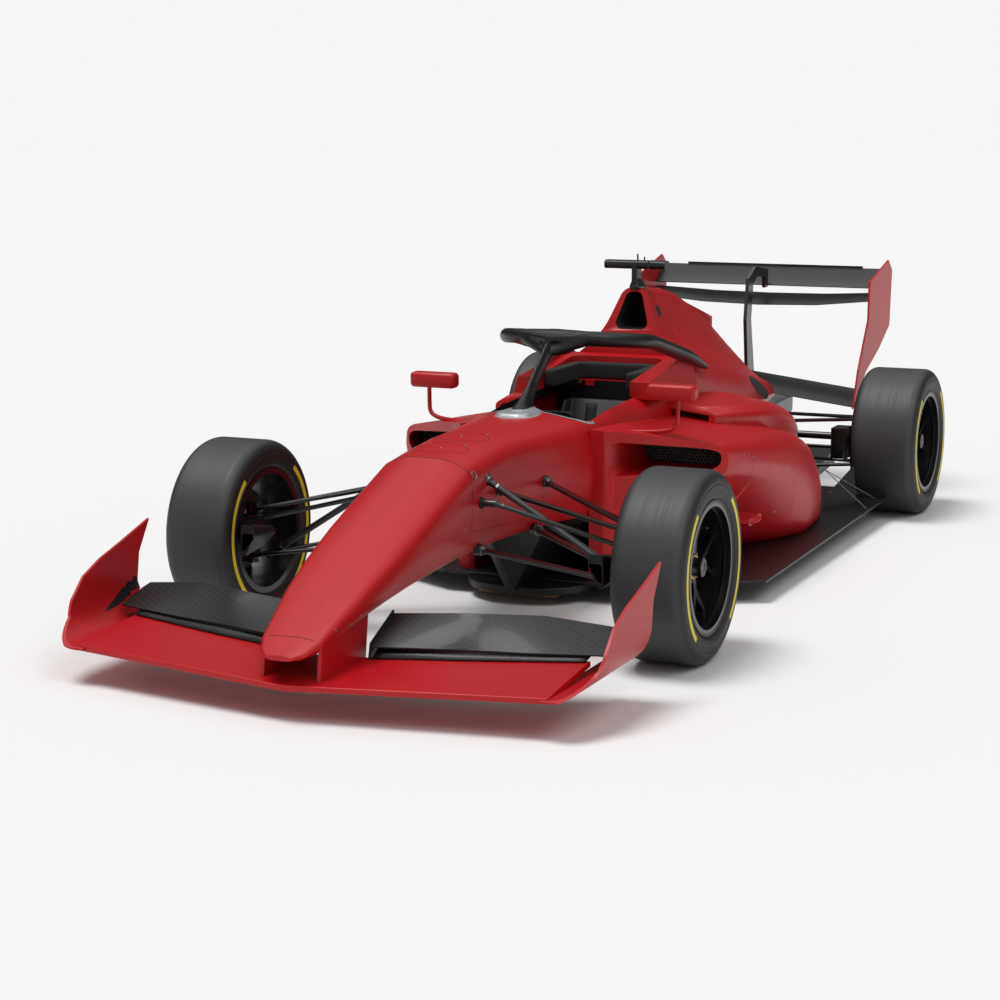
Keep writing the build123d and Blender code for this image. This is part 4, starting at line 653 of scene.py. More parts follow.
# columns: X, Y, Z and radius of the balls that each web is drawn round
HALO_WEBS = (
    ((0, 838, 866, 14), (0, 900, 916, 29), (60, 912, 920, 28), (125, 926, 920, 27)),
    ((0, 872, 902, 17), (0, 930, 924, 27), (70, 880, 925, 13), (100, 930, 922, 26)),
)
# The hoop's arms flatten and draw together towards their ends
ARM_TAPER_START, ARM_TAPER_LENGTH = 1560, 310
ARM_LEAST_X, ARM_END_X = 150, 264
ARM_LOW, ARM_LOW_Y, ARM_FALL = 866, 1190, 0.235
ARM_FLATTENING, ARM_DRAWING_IN = 0.72, 0.55
FOOT_LACQUER_TOP, FOOT_LACQUER_BACK = 700, 790


def flare():
    """The flare where the pillar runs out into the tub, widened ring by ring from the pillar."""
    shape = bmesh.new()
    ring = bmesh.ops.create_circle(shape, cap_ends=True, segments=48, radius=1)["verts"]
    top, half_x, half_y = FLARE_RINGS[0]
    for vert in ring:
        vert.co = Vector((vert.co.x * half_x, vert.co.y * half_y, 0)) * MM + at(0, FLARE_TOP_Y, top)
    foot = FLARE_RINGS[-1][0]
    for before, after in zip(FLARE_RINGS, FLARE_RINGS[1:]):
        face = max(shape.faces, key=lambda item: -item.calc_center_median().z)
        grown = bmesh.ops.extrude_discrete_faces(shape, faces=[face])["faces"][0]
        old, new = (at(0, PILLAR_FOOT_Y + PILLAR_RAKE * (level - foot), level)
                    for level, *_ in (before, after))
        for vert in grown.verts:
            offset = vert.co - old
            vert.co = new + Vector((offset.x / before[1] * after[1], offset.y / before[2] * after[2], 0))
    return shape


def web(shape, balls):
    """Adds the hull round some balls: x, y, z and radius."""
    hull = bmesh.new()
    for x, y, z, radius in balls:
        bmesh.ops.create_icosphere(hull, subdivisions=3, radius=radius * MM,
                                   matrix=Matrix.Translation(at(x, y, z)))
    made = bmesh.ops.convex_hull(hull, input=hull.verts)
    bmesh.ops.delete(hull, geom=list({*made["geom_interior"], *made["geom_unused"]}), context="VERTS")
    absorb(shape, hull)


def softened(name, shape, voxel_mm, factor, rounds):
    """A shape's parts run together as one skin, and smoothed."""
    pattern = piece(name + "_pattern", shape, WING_CARBON, smooth=180)
    grow = pattern.modifiers.new("skin", "REMESH")
    grow.mode, grow.voxel_size, grow.use_smooth_shade = "VOXEL", voxel_mm * MM, True
    soft = pattern.modifiers.new("soft", "SMOOTH")
    soft.factor, soft.iterations = factor, rounds
    return finished(pattern)


def tapered_arms(shape):
    """Flattens the hoop's arms and draws them together towards their ends."""
    for vert in shape.verts:
        x, y, z = vert.co / MM
        y += AXLE_BACK
        if y > ARM_TAPER_START and abs(x) > ARM_LEAST_X:
            share = min(1, (y - ARM_TAPER_START) / ARM_TAPER_LENGTH) ** 2
            low = ARM_LOW - ARM_FALL * (y - ARM_LOW_Y)
            end_x = ARM_END_X if x > 0 else -ARM_END_X
            vert.co.z = (low + (z - low) * (1 - ARM_FLATTENING * share)) * MM
            vert.co.x = (x - (x - end_x) * ARM_DRAWING_IN * share) * MM


def make_halo():
    """The hoop with its bladed pillar, its webs and its flared foot, run together as one skin."""
    shape = merged("halo")
    absorb(shape, flare())
    for side in (-1, 1):
        for balls in HALO_WEBS:
            web(shape, [(side * x, y, z, radius) for x, y, z, radius in balls])
    shape = softened("halo", shape, 5, 0.6, 9)
    tapered_arms(shape)
    hoop = piece("halo_hoop", shape, WING_CARBON, "chassis", 180)
    lined(hoop, GREY_LACQUER, lambda x, y, z, out: z < FOOT_LACQUER_TOP and y < FOOT_LACQUER_BACK)
    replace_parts(hoop, "halo")


# Wheels

# columns: distance inwards from the tyre's outer face, and from the axle
TYRE_WALL = (
    (15.3, 203.5), (15.3, 218.3), (12, 220), (7.5, 224.5), (3.5, 231), (1.2, 237), (0.9, 239), (1.9, 240),
    (0.4, 242.5), (0, 247), (0, 252), (0, 263), (0.1, 268), (1.0, 269), (0.1, 270),
)
SHOULDER_RADIUS, TREAD_IN = 42, 70
BEAD_RADIUS, BEAD_IN = 203.5, 32
CARCASS_RADIUS, CARCASS_IN = 297, 58
BAND_RADIUS, BAND_HALF_WIDTH, BAND_HALF_SWEEP, BAND_LIFT = 257.5, 8.5, 50, 0.35
# columns of the profiles: distance outwards along the axle from the piece's face, and from the axle
RIM_LIP = ((-9.4, 217.6), (-8, 216.4), (-8, 211), (-10, 205), (-14, 200), (-30, 196.6), (-30, 197.4),
           (-9.4, 217.6))
RIM_RIDGE = ((-34, 190), (-32.5, 196.9), (-40, 196.9), (-34, 190))
HUB_RING = ((0.5, 31), (5, 31), (6.5, 33), (6.5, 40), (5, 42), (0.5, 42), (0.5, 31))
NUT_BODY = ((26, 30.4), (35, 30.4), (36.5, 28.5), (36.5, 17), (30, 15), (30, 0))
NUT_TIP = ((30, 12), (35, 10), (35, 0))
DRIVE_PEG = ((-2, 3.6), (3, 3.6), (4, 2.6), (4, 0))
PEG_COUNT, PEG_CIRCLE = 10, 46
VALVE_STEM = ((-30, 4), (4, 4), (5, 3), (5, 0))
VALVE_CIRCLE, VALVE_TURN = 176, 0.6
BRAKE_DISC = ((0.4, 64), (0.4, 138), (-1, 139.6), (-9, 139.6), (-9, 136), (-19, 136), (-19, 139.6),
              (-27, 139.6), (-28.4, 138), (-28.4, 64))
CALIPER = ((12, 98), (12, 152), (8, 157), (-38, 157), (-44, 150), (-44, 98), (-32, 98), (-32, 145),
           (3, 145), (3, 98))
CALIPER_SWEEP = 60


def on_axle(wheel, inset):
    """A point on a wheel's axle, inwards from its tyre's outer face."""
    return at(wheel.side * (wheel.outer - inset), wheel.axle_y, AXLE_HEIGHT)


def round_axle(hub, along, turn, away):
    """A point beside a point on the axle: millimetres along it, an angle round it, millimetres from it."""
    return hub + Vector((along, cos(turn) * away, sin(turn) * away)) * MM


def tyre_profile(half):
    """Half a tyre's section, as distances from its middle and from the axle."""
    wall = [(half - inset, away) for inset, away in TYRE_WALL]
    middle, level = half - SHOULDER_RADIUS, AXLE_HEIGHT - SHOULDER_RADIUS
    shoulder = [(middle + SHOULDER_RADIUS * cos(radians(turn)), level + SHOULDER_RADIUS * sin(radians(turn)))
                for turn in range(6, 91, 7)]
    return wall + shoulder + [(half - TREAD_IN, AXLE_HEIGHT), (0, AXLE_HEIGHT)]


def make_tyres():
    """The four slick tyres with their moulded walls."""
    for wheel in WHEELS:
        half = wheel.width / 2
        outward = tyre_profile(half)
        inward = [(-along, away) for along, away in reversed(outward[:-1])]
        bead, carcass = half - BEAD_IN, half - CARCASS_IN
        inside = [(-bead, BEAD_RADIUS), (-carcass, CARCASS_RADIUS), (carcass, CARCASS_RADIUS),
                  (bead, BEAD_RADIUS)]
        shape = bmesh.new()
        turned(shape, outward + inward + inside + outward[:1], on_axle(wheel, half), (wheel.side, 0, 0), 144)
        tyre = piece("tyre_" + wheel.corner + "_skin", shape, TYRE_RUBBER[wheel.end], wheel.body, 50)
        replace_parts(tyre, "tyre_" + wheel.corner)
        make_sidewall_bands(wheel)


def make_sidewall_bands(wheel):
    """Two printed arcs on each wall of a tyre."""
    shape = bmesh.new()
    for inset in (-BAND_LIFT, wheel.width + BAND_LIFT):
        hub = on_axle(wheel, inset)
        for middle in (0, 180):
            made = bmesh.ops.create_grid(shape, x_segments=48, y_segments=1, size=1)["verts"]
            for vert in made:
                turn = radians(middle + vert.co.x * BAND_HALF_SWEEP)
                vert.co = round_axle(hub, 0, turn, BAND_RADIUS + vert.co.y * BAND_HALF_WIDTH)
    piece("sidewall_band_" + wheel.corner, shape, SIDEWALL_INK, wheel.body)


def make_rim_details():
    """The turned edge of each rim, its gold hub ring, its nut and pegs, and the brake disc."""
    for wheel in WHEELS:
        way = (wheel.side, 0, 0)
        face, hub = on_axle(wheel, 0), on_axle(wheel, SPOKE_FACE_IN)
        ring, gold, nut, pegs, plate = [bmesh.new() for _ in range(5)]
        turned(ring, RIM_LIP, face, way, 144)
        turned(ring, RIM_RIDGE, face, way, 144)
        piece("rim_edge_" + wheel.corner, ring, TURNED_RIM, wheel.body)
        turned(gold, HUB_RING, hub, way, 72)
        piece("hub_ring_" + wheel.corner, gold, GOLD_ALLOY, wheel.body)
        turned(nut, NUT_BODY, hub, way, 6)
        turned(nut, NUT_TIP, hub, way, 32)
        piece("hub_nut_" + wheel.corner, nut, DISC_IRON, wheel.body, smooth=25)
        for number in range(PEG_COUNT):
            turn = 2 * pi * (number + 0.5) / PEG_COUNT
            turned(pegs, DRIVE_PEG, round_axle(hub, wheel.side, turn, PEG_CIRCLE), way, 12)
        turned(pegs, VALVE_STEM, round_axle(hub, wheel.side * -6, VALVE_TURN, VALVE_CIRCLE), way, 12)
        piece("rim_pegs_" + wheel.corner, pegs, SCREW_STEEL, wheel.body)
        turned(plate, BRAKE_DISC, on_axle(wheel, DISC_IN), way, 96)
        piece("brake_disc_" + wheel.corner, plate, DISC_IRON, wheel.body)


def make_calipers():
    """The brake calipers that straddle the discs, behind each axle."""
    for wheel in WHEELS:
        disc = on_axle(wheel, DISC_IN)
        shape = bmesh.new()
        start = radians(-CALIPER_SWEEP / 2)
        spots = [shape.verts.new(round_axle(disc, wheel.side * along, start, away))
                 for along, away in CALIPER]
        face = shape.faces.new(spots)
        bmesh.ops.spin(shape, geom=[face, *face.edges, *face.verts], cent=disc, axis=(1, 0, 0),
                       angle=radians(CALIPER_SWEEP), steps=10, use_merge=False)
        rounded_off(shape, 2 * MM, 2)
        body = "knuckle_" + wheel.hand if wheel.end == "front" else "chassis"
        piece("brake_caliper_" + wheel.corner, shape, ARM_PAINT, body)


# Suspension

# columns of the profiles: millimetres along the arm from its foot, and from its middle
ARM_BOSS = ((-14, 0), (-14, 20), (2, 20), (4, 17.5), (12, 17), (22, 13.5), (24, 0))
ARM_COLLAR = ((9, 17.4), (10, 18.2), (12, 18.2), (13, 16), (9, 16), (9, 17.4))
RACK_BOOT = ((-14, 13.5), (-14, 20), (0, 20), (1.5, 17), (3, 19), (4.5, 16.5), (6, 18.5), (7.5, 15),
             (9, 13.2), (-14, 13.5))
RACK_BOOT_PLACE = (171, -117, 490)
TRACK_ROD = ((222, -117, 490), (742, -84, 352))
PUSH_ROD = ((160, -60, 560), (693, -8, 225))
NUT_FLAT, NUT_END = 7, 8


def make_arm_ends():
    """The bosses and bright collars where the arms meet the tub and the gearbox."""
    bosses, collars = bmesh.new(), bmesh.new()
    for foot, joint in (*FRONT_FEET, *REAR_FEET):
        for _, side in SIDES:
            first = sided(side, foot)
            way = (sided(side, joint) - first).normalized()
            turned(bosses, ARM_BOSS, first, way, 32)
            turned(collars, ARM_COLLAR, first, way, 32)
    piece("arm_bosses", bosses, ARM_PAINT)
    piece("arm_collars", collars, POLISHED_STEEL)


def make_rack_boots():
    """The ribbed boots where the steering rack leaves the tub."""
    shape = bmesh.new()
    for _, side in SIDES:
        turned(shape, RACK_BOOT, sided(side, RACK_BOOT_PLACE), (side, 0, 0), 32)
    piece("rack_boots", shape, BOOT_RUBBER)


def make_lock_nuts(name, rod_ends, tube, corner, near, far, finish, body):
    """Hexagon nuts near both ends of a rod, on both sides of the car."""
    shape = bmesh.new()
    for _, side in SIDES:
        start, end = (sided(side, place) for place in rod_ends)
        way = (end - start).normalized()
        for place, along in ((start, near), (end, -far)):
            profile = ((along, tube), (along, corner), (along + NUT_FLAT, corner), (along + NUT_END, tube))
            turned(shape, profile, place, way, 6)
    piece(name, shape, finish, body, smooth=25)


def make_rod_ends():
    """The lock nuts on the track rods and the bright ones on the push rods."""
    make_lock_nuts("track_rod_nuts", TRACK_ROD, 8.1, 10, 22, 70, ARM_PAINT, "rack")
    make_lock_nuts("push_rod_nuts", PUSH_ROD, 11.1, 13.5, 44, 80, POLISHED_STEEL, "chassis")


# Body trim

NOSE, TUB, COVER, SEAT = skin("nose"), skin("monocoque"), skin("engine_cover"), skin("seat")
PODS = skin("sidepod_left", "sidepod_right")
ENDPLATES = skin("front_endplates", "rear_endplates")
# columns: Y and level of a ring's middle, its sweep to each side in degrees and its steps
NOSE_JOINT, NOSE_TIP = (-181, 470, 118, 90), (-1080, 226, 80, 40)
# columns: middle's Y, half width and half length of the two covers on the tub
HATCHES = ((-60, 92, 62), (100, 96, 66))
# Widths of the dark lines
JOINT_LINE, GAP_LINE, HATCH_LINE = 2.6, 2, 1.8
# columns: what the gap is laid on, and its bends as Y and Z
SIDE_GAPS = (
    (TUB, ((-178, 402), (220, 372), (470, 395))), (COVER, ((1895, 930), (2040, 800), (2150, 640))),
    (PODS, ((1180, 520), (1176, 360), (1230, 270))), (PODS, ((2010, 440), (2010, 150))),
)
# Places as X and Y
HATCH_SCREWS = ((0, -60), (0, 100), (64, -8), (-64, -8), (68, 158), (-68, 158))
# columns: name, what they are set in, heads' radius and height, and their places as Y and Z
SIDE_SCREWS = (
    ("pod_screws", PODS, 5, 1.4,
     ((1110, 500), (1186, 480), (1500, 400), (1500, 220), (2090, 380), (2090, 180), (1150, 330))),
    ("nose_screws", NOSE, 4.5, 1.2,
     ((-1008, 258), (-943, 262), (-884, 275), (-230, 520), (-230, 420), (-700, 330))),
    ("cover_screws", COVER, 4.5, 1.2, ((1930, 860), (2080, 700), (2500, 620), (2700, 560), (1850, 780))),
    ("endplate_screws", ENDPLATES, 4.5, 1.2,
     ((-700, 220), (-560, 250), (-640, 170), (3420, 880), (3500, 900), (3560, 930), (3470, 840))),
)
POD_BUMP_PLACE, POD_BUMP_HALVES = (664, 1180, 246), (44, 79, 16)
NOSE_LATCH = ((-3, 0), (-3, 15), (1.5, 15), (2, 12), (-1, 10), (-1, 0))
NOSE_LATCH_Y, NOSE_LATCH_LEVEL = -150, 585
# Opposite corners of the mirror's shell, pane and clip, and the bends of its stalk from the shell down
MIRROR_SHELL = ((378, 842, 718), (562, 904, 776))
MIRROR_PANE = ((388, 903, 726), (552, 905, 768))
MIRROR_CLIP = ((186, 762, 590), (216, 818, 620))
MIRROR_STALK = ((492, 873, 735), (492, 873, 672), (490, 872, 622), (450, 861, 606), (380, 842, 603),
                (290, 817, 602), (196, 790, 600))
# Foot and top of the air box's side slots as Y and Z, and their width
AIR_SLOT, AIR_SLOT_WIDTH = ((1812, 925), (1806, 962)), 52


def make_panel_gaps():
    """The dark lines between the body's panels."""
    shape = bmesh.new()
    strip(shape, skin("nose", "monocoque"), around(*NOSE_JOINT), JOINT_LINE)
    strip(shape, NOSE, around(*NOSE_TIP), GAP_LINE)
    for y, half_x, half_y in HATCHES:
        oval = [(half_x * cos(radians(turn)), y + half_y * sin(radians(turn))) for turn in range(0, 361, 6)]
        strip(shape, TUB, from_above(oval), HATCH_LINE)
    for _, side in SIDES:
        for panel, bends in SIDE_GAPS:
            strip(shape, panel, from_side(paced(bends), side), GAP_LINE)
    piece("panel_gaps", shape, PANEL_GAP, outward=False)


def make_screws():
    """The small round screws in the panels."""
    studs("hatch_screws", TUB, from_above(HATCH_SCREWS), 4.5, 1.2, SCREW_STEEL)
    for name, panel, radius, height, places in SIDE_SCREWS:
        lines = [line for _, side in SIDES for line in from_side(places, side)]
        studs(name, panel, lines, radius, height, SCREW_STEEL)


def make_nose_latches():
    """The small round latches at the joint of the nose and the tub."""
    shape = bmesh.new()
    for _, side in SIDES:
        start = at(side * RAY_START, NOSE_LATCH_Y, NOSE_LATCH_LEVEL)
        turned(shape, NOSE_LATCH, *landing(TUB, start, (-side, 0, 0)), 32)
    piece("nose_latches", shape, SCREEN_WIRE)


def make_pod_bumps():
    """The rounded caps of the small bumps low on the pods' sides."""
    shape = bmesh.new()
    size = Matrix.Diagonal((*[half * MM for half in POD_BUMP_HALVES], 1))
    for _, side in SIDES:
        bmesh.ops.create_uvsphere(shape, u_segments=40, v_segments=20, radius=1,
                                  matrix=Matrix.Translation(sided(side, POD_BUMP_PLACE)) @ size)
    piece("pod_bumps", shape, RED_PAINT, smooth=60)


def make_mirrors():
    """The rounded mirror shells on their bent stalks, with their glass and the clips at their feet."""
    shells, glass, clips = bmesh.new(), bmesh.new(), bmesh.new()
    for hand, side in SIDES:
        for shape, corners in ((shells, MIRROR_SHELL), (glass, MIRROR_PANE), (clips, MIRROR_CLIP)):
            block(shape, *[sided(side, corner) for corner in corners])
        route = [sided(side, place) for place in MIRROR_STALK]
        pipe("mirror_stalk_" + hand, route, 8 * MM, RED_PAINT)
    rounded_off(shells, 17 * MM, 5)
    rounded_off(glass, 0.8 * MM, 2)
    rounded_off(clips, 9 * MM, 3)
    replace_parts(piece("mirror_shells", shells, RED_PAINT, smooth=60), "mirrors")
    piece("mirror_glass", glass, MIRROR_GLASS)
    piece("mirror_clips", clips, ARM_PAINT)


def make_air_slots():
    """Painted shade: small near black strips laid on the sides of the air box where its slots are."""
    shape = bmesh.new()
    for _, side in SIDES:
        strip(shape, COVER, from_side(paced(AIR_SLOT, 6), side), AIR_SLOT_WIDTH, 0.8)
    # Painted shade where the slots open
    piece("air_box_slot_shade", shape, DUCT_SHADE, outward=False)


# Inlet screens

CELL_PITCH, WIRE_WIDTH, WIRE_THICK = 13, 1.5, 2
CELL_ROWS, CELL_COLUMNS = 12, 30
FIRST_CELL_X, FIRST_CELL_LEVEL = 290, 452
WIRE_Y, BEFORE_SCREENS = 1086, 900
# A hexagon's row spacing and corner distance as shares of its width
HEX_ROW, HEX_CORNER = 0.866, 0.577


def make_screens():
    """The honeycomb wire in the side inlets. Its real cells are 6 mm, and it is drawn at 13 mm to show. The
    screens behind it get painted shade.
    """
    tree = skin("radiator_screens")
    shape = bmesh.new()
    turn = Matrix.Rotation(pi / 2, 4, "X")
    for _, side in SIDES:
        for row in range(CELL_ROWS):
            for column in range(CELL_COLUMNS):
                x = side * (FIRST_CELL_X + CELL_PITCH * (column + row % 2 / 2))
                z = FIRST_CELL_LEVEL + CELL_PITCH * HEX_ROW * row
                if tree.ray_cast(at(x, BEFORE_SCREENS, z), Vector((0, 1, 0)))[0] is None:
                    continue
                bmesh.ops.create_circle(shape, cap_ends=True, segments=6, radius=CELL_PITCH * HEX_CORNER * MM,
                                        matrix=Matrix.Translation(at(x, WIRE_Y, z)) @ turn)
    cells = list(shape.faces)
    bmesh.ops.inset_individual(shape, faces=cells, thickness=WIRE_WIDTH * MM, depth=0)
    bmesh.ops.delete(shape, geom=cells, context="FACES")
    wire = piece("inlet_mesh", shape, SCREEN_WIRE, smooth=20)
    thickened(wire, WIRE_THICK)
    # Painted shade: the solid screens behind the wire are near black, for the dark inside the inlets
    skinned("radiator_screens", merged("radiator_screens"), DUCT_SHADE, 30, 0)


# The bar above the air inlet, and the car's tail

# columns: foot, top and radius
ANTENNAS = (((8, 1752, 1140), (8, 1750, 1172), 3.4), ((34, 1758, 1140), (34, 1757, 1160), 3))
BAR_RING = ((58, 1730.5, 1111.5), (61, 1789.5, 1146.6))
# columns: X, Y, Z and radius of the balls that the post and its foot are drawn round
POST_BLADE = ((0, 1748, 1120, 11), (0, 1775, 1120, 10), (0, 1744, 1066, 12), (0, 1790, 1062, 11))
POST_FOOT = ((0, 1744, 1070, 12), (0, 1790, 1066, 11), (-14, 1738, 1040, 9), (14, 1738, 1040, 9),
             (-14, 1812, 1034, 9), (14, 1812, 1034, 9))
OUTLET_MIDDLE, OUTLET_ALONG, OUTLET_ACROSS = (200, 2806, 520), (0, 168, -44), (0, 8, 43)
EXHAUST_PLACE, EXHAUST_WAY = (0, 2840, 470), (0, 1, 0.08)
EXHAUST = ((-120, 36), (40, 36), (41, 35), (41, 33.5), (40, 32.5), (-110, 32.5), (-110, 0))
WING_MOUNT_HOUSING = ((-46, 3090, 398), (46, 3330, 446))
LAMPS_A_SIDE, LAMP_PITCH_X, LAMP_PITCH_Z, LAMP_RADIUS = 5, 14, 12, 4.5
FIRST_LAMP = (-28, 3806, 301)
GEARBOX_RIBS = (2500, 2580, 2760, 2990, 3070, 3150)
GEARBOX_FRONT, GEARBOX_LENGTH, GEARBOX_HALF, GEARBOX_NARROWING = 2420, 820, 110, 30
RIB_LOW, RIB_HIGH, RIB_HALF, RIB_PROUD = 150, 385, 4, 3


def make_camera_mast():
    """The two short antennas on the bar above the air inlet, and the flared post that carries it."""
    shape = bmesh.new()
    for foot, top, radius in ANTENNAS:
        rod(shape, at(*foot), at(*top), radius * MM, 12)
    block(shape, *[at(*corner) for corner in BAR_RING])
    piece("bar_antennas", shape, ARM_PAINT)
    post = bmesh.new()
    web(post, POST_BLADE)
    web(post, POST_FOOT)
    piece("bar_post", softened("bar_post", post, 4, 0.6, 4), ARM_PAINT, smooth=180)


def disc(shape, tree, middle, along, across, way, lift=1.0, reach=600):
    """A round patch laid on a surface, from a grid drawn in to a disc."""
    made = bmesh.ops.create_grid(shape, x_segments=24, y_segments=16, size=1)["verts"]
    for vert in made:
        u, v = vert.co.x, vert.co.y
        spot = middle + (Vector(along) * u * (1 - v * v / 2) ** 0.5
                         + Vector(across) * v * (1 - u * u / 2) ** 0.5) * MM
        place, normal = landing(tree, spot - Vector(way) * reach * MM, way)
        vert.co = place + normal * lift * MM


def make_outlet():
    """The cover's tail outlets as ovals of painted shade, with the exhaust's mouth between them."""
    shape, exhaust, house = bmesh.new(), bmesh.new(), bmesh.new()
    for _, side in SIDES:
        disc(shape, COVER, sided(side, OUTLET_MIDDLE), OUTLET_ALONG, OUTLET_ACROSS, (-side, 0, 0))
    # Painted shade: near black ovals laid where the outlets open
    piece("tail_outlet_shade", shape, DUCT_SHADE, outward=False)
    turned(exhaust, EXHAUST, at(*EXHAUST_PLACE), EXHAUST_WAY, 64)
    piece("exhaust_pipe", exhaust, DISC_IRON)
    block(house, *[at(*corner) for corner in WING_MOUNT_HOUSING])
    rounded_off(house, 9 * MM, 3)
    piece("wing_mount_housing", house, GREY_LACQUER)


def make_tail_details():
    """The lamp's domes, and the gearbox's ribs."""
    domes, ribs = bmesh.new(), bmesh.new()
    x, y, z = FIRST_LAMP
    for row in range(LAMPS_A_SIDE):
        for column in range(LAMPS_A_SIDE):
            place = at(x + LAMP_PITCH_X * column, y, z + LAMP_PITCH_Z * row)
            bmesh.ops.create_uvsphere(domes, u_segments=12, v_segments=8, radius=LAMP_RADIUS * MM,
                                      matrix=Matrix.Translation(place))
    piece("lamp_domes", domes, LAMP_DOME)
    for y in GEARBOX_RIBS:
        half = GEARBOX_HALF - GEARBOX_NARROWING * (y - GEARBOX_FRONT) / GEARBOX_LENGTH + RIB_PROUD
        block(ribs, at(-half, y - RIB_HALF, RIB_LOW), at(half, y + RIB_HALF, RIB_HIGH))
    rounded_off(ribs, 2 * MM, 2)
    piece("gearbox_ribs", ribs, CAST_ALLOY)


# Wings and floor

FLAP_STRIP = ((-430, 3622, 984), (430, 3626, 1006))
SLOT_VANE_MIDDLE, SLOT_VANE_HALF, SLOT_VANE_THICK = 462, 314, 3
# Y at which the search for each wing's edge starts, and the vane's sides as seen from those edges
BEHIND_MAIN_PLANE, BEFORE_FLAPS = -450, -1100
VANE_FROM_MAIN, VANE_FROM_FLAPS = (0, -24, 3), (0, 40, -4)
# Middle line of the cloth inside the endplates, as Y and Z
END_SKIN = ((-738, 166), (-660, 180), (-570, 205), (-505, 228))
END_SKIN_FROM, END_SKIN_FRONT, END_SKIN_REAR = 500, 2, 66
STAY_TOP, STAY_FEET = (655, 2240, 270), ((790, 2560, 104), (812, 2330, 101))
FLOOR_VANE = ((640, 2236, 96), (738, 2446, 96), (722, 2452, 262), (668, 2330, 180))


def edge_of(tree, x, start, step):
    """Where a wing's edge is at a distance from the middle, felt for from above in steps of Y."""
    y = start
    while tree.ray_cast(at(x, y, RAY_START), DOWN)[0] is None:
        y += step
    return tree.ray_cast(at(x, y, RAY_START), DOWN)[0]


def make_wing_details():
    """The upturned strip on the rear flap, and the front wing's slot vanes and inner end skins."""
    gurney, vanes, inner = bmesh.new(), bmesh.new(), bmesh.new()
    block(gurney, *[at(*corner) for corner in FLAP_STRIP])
    piece("flap_strip", gurney, WING_CARBON)
    main, flaps, ends = skin("front_wing_main"), skin("front_wing_flaps"), skin("front_endplates")
    for _, side in SIDES:
        made = bmesh.ops.create_grid(vanes, x_segments=24, y_segments=1, size=1)["verts"]
        for vert in made:
            x = side * (SLOT_VANE_MIDDLE + SLOT_VANE_HALF * vert.co.x)
            if vert.co.y < 0:
                vert.co = edge_of(main, x, BEHIND_MAIN_PLANE, -2) + Vector(VANE_FROM_MAIN) * MM
            else:
                vert.co = edge_of(flaps, x, BEFORE_FLAPS, 2) + Vector(VANE_FROM_FLAPS) * MM
        lines = [(at(side * END_SKIN_FROM, y, z), Vector((side, 0, 0))) for y, z in paced(END_SKIN)]
        lines = [line for line in lines if ends.ray_cast(*line)[0]]
        strip(inner, ends, lines, END_SKIN_FRONT, 1.2, END_SKIN_REAR)
    thickened(piece("slot_vanes", vanes, FLAP_CARBON, outward=False), SLOT_VANE_THICK)
    piece("endplate_inner_skins", inner, FLAP_CARBON, outward=False)


def make_floor_stays():
    """The thin steel stays from the pods to the floor's edge, and the upright vanes beside them."""
    stays, vanes = bmesh.new(), bmesh.new()
    for _, side in SIDES:
        for foot in STAY_FEET:
            rod(stays, sided(side, STAY_TOP), sided(side, foot), 2 * MM, 10)
    piece("floor_stays", stays, POLISHED_STEEL)
    for _, side in SIDES:
        face = vanes.faces.new([vanes.verts.new(sided(side, corner)) for corner in FLOOR_VANE])
        bmesh.ops.solidify(vanes, geom=[face], thickness=4 * MM)
    piece("floor_vanes", vanes, FLAP_CARBON)


# Cockpit

WHEEL_GRIP = ((-48, 0), (-48, 15), (-42, 19), (42, 19), (48, 15), (48, 0))
WHEEL_GRIP_X, WHEEL_Y, WHEEL_LEVEL = 121, 800, 590
WHEEL_DISPLAY = ((-52, 813, 588), (52, 819, 644))
SWITCH_CAP = ((0, 5.5), (7, 5.5), (8.5, 4), (8.5, 0))
SWITCH_X, SWITCH_Y, SWITCH_LEVEL = 66, 814, 560
# Radius of the rim's rounded front corners, and the place of their middle
RIM_CORNER, RIM_CORNER_X, RIM_CORNER_Y = 128, 85, 765
RIM_WIDTH, RIM_LIFT = 11, 1.4
# columns: each strap's start and end as X and Y, its steps and its lift
STRAPS = (((48, 1210), (70, 1460), 24, 2.5), ((12, 1150), (140, 1180), 12, 3.5))
STRAP_WIDTH, STRAP_THICK = 44, 1.6
BUCKLE = ((0, 30), (12, 30), (15, 27), (15, 12), (18, 10), (18, 0))
BUCKLE_Y = 1165


def make_cockpit():
    """The wheel's grips, display and switches, and the grey rim round the cockpit's front edge."""
    grips, panel, rim = bmesh.new(), bmesh.new(), bmesh.new()
    for _, side in SIDES:
        turned(grips, WHEEL_GRIP, at(side * WHEEL_GRIP_X, WHEEL_Y, WHEEL_LEVEL), (0, 0, 1), 24)
    piece("wheel_grips", grips, HEAD_FOAM)
    block(panel, *[at(*corner) for corner in WHEEL_DISPLAY])
    rounded_off(panel, 3 * MM, 2)
    piece("wheel_display", panel, DISPLAY_GLASS)
    for number, finish in enumerate(CAP_COLOURS):
        caps = bmesh.new()
        row, column = divmod(number, 2)
        for _, side in SIDES:
            x, z = side * (SWITCH_X - 17 * column), SWITCH_LEVEL - 16 * row + 4 * column
            turned(caps, SWITCH_CAP, at(x, SWITCH_Y, z), (0, 1, 0), 16)
        piece("switches_" + str(number), caps, finish)
    corner = [(RIM_CORNER_X + RIM_CORNER * cos(radians(turn)), RIM_CORNER_Y - RIM_CORNER * sin(radians(turn)))
              for turn in range(0, 91, 10)]
    whole = corner + [(-x, y) for x, y in reversed(corner)]
    strip(rim, TUB, from_above(paced(whole, 10)), RIM_WIDTH, RIM_LIFT)
    piece("cockpit_rim", rim, GREY_LACQUER, outward=False)


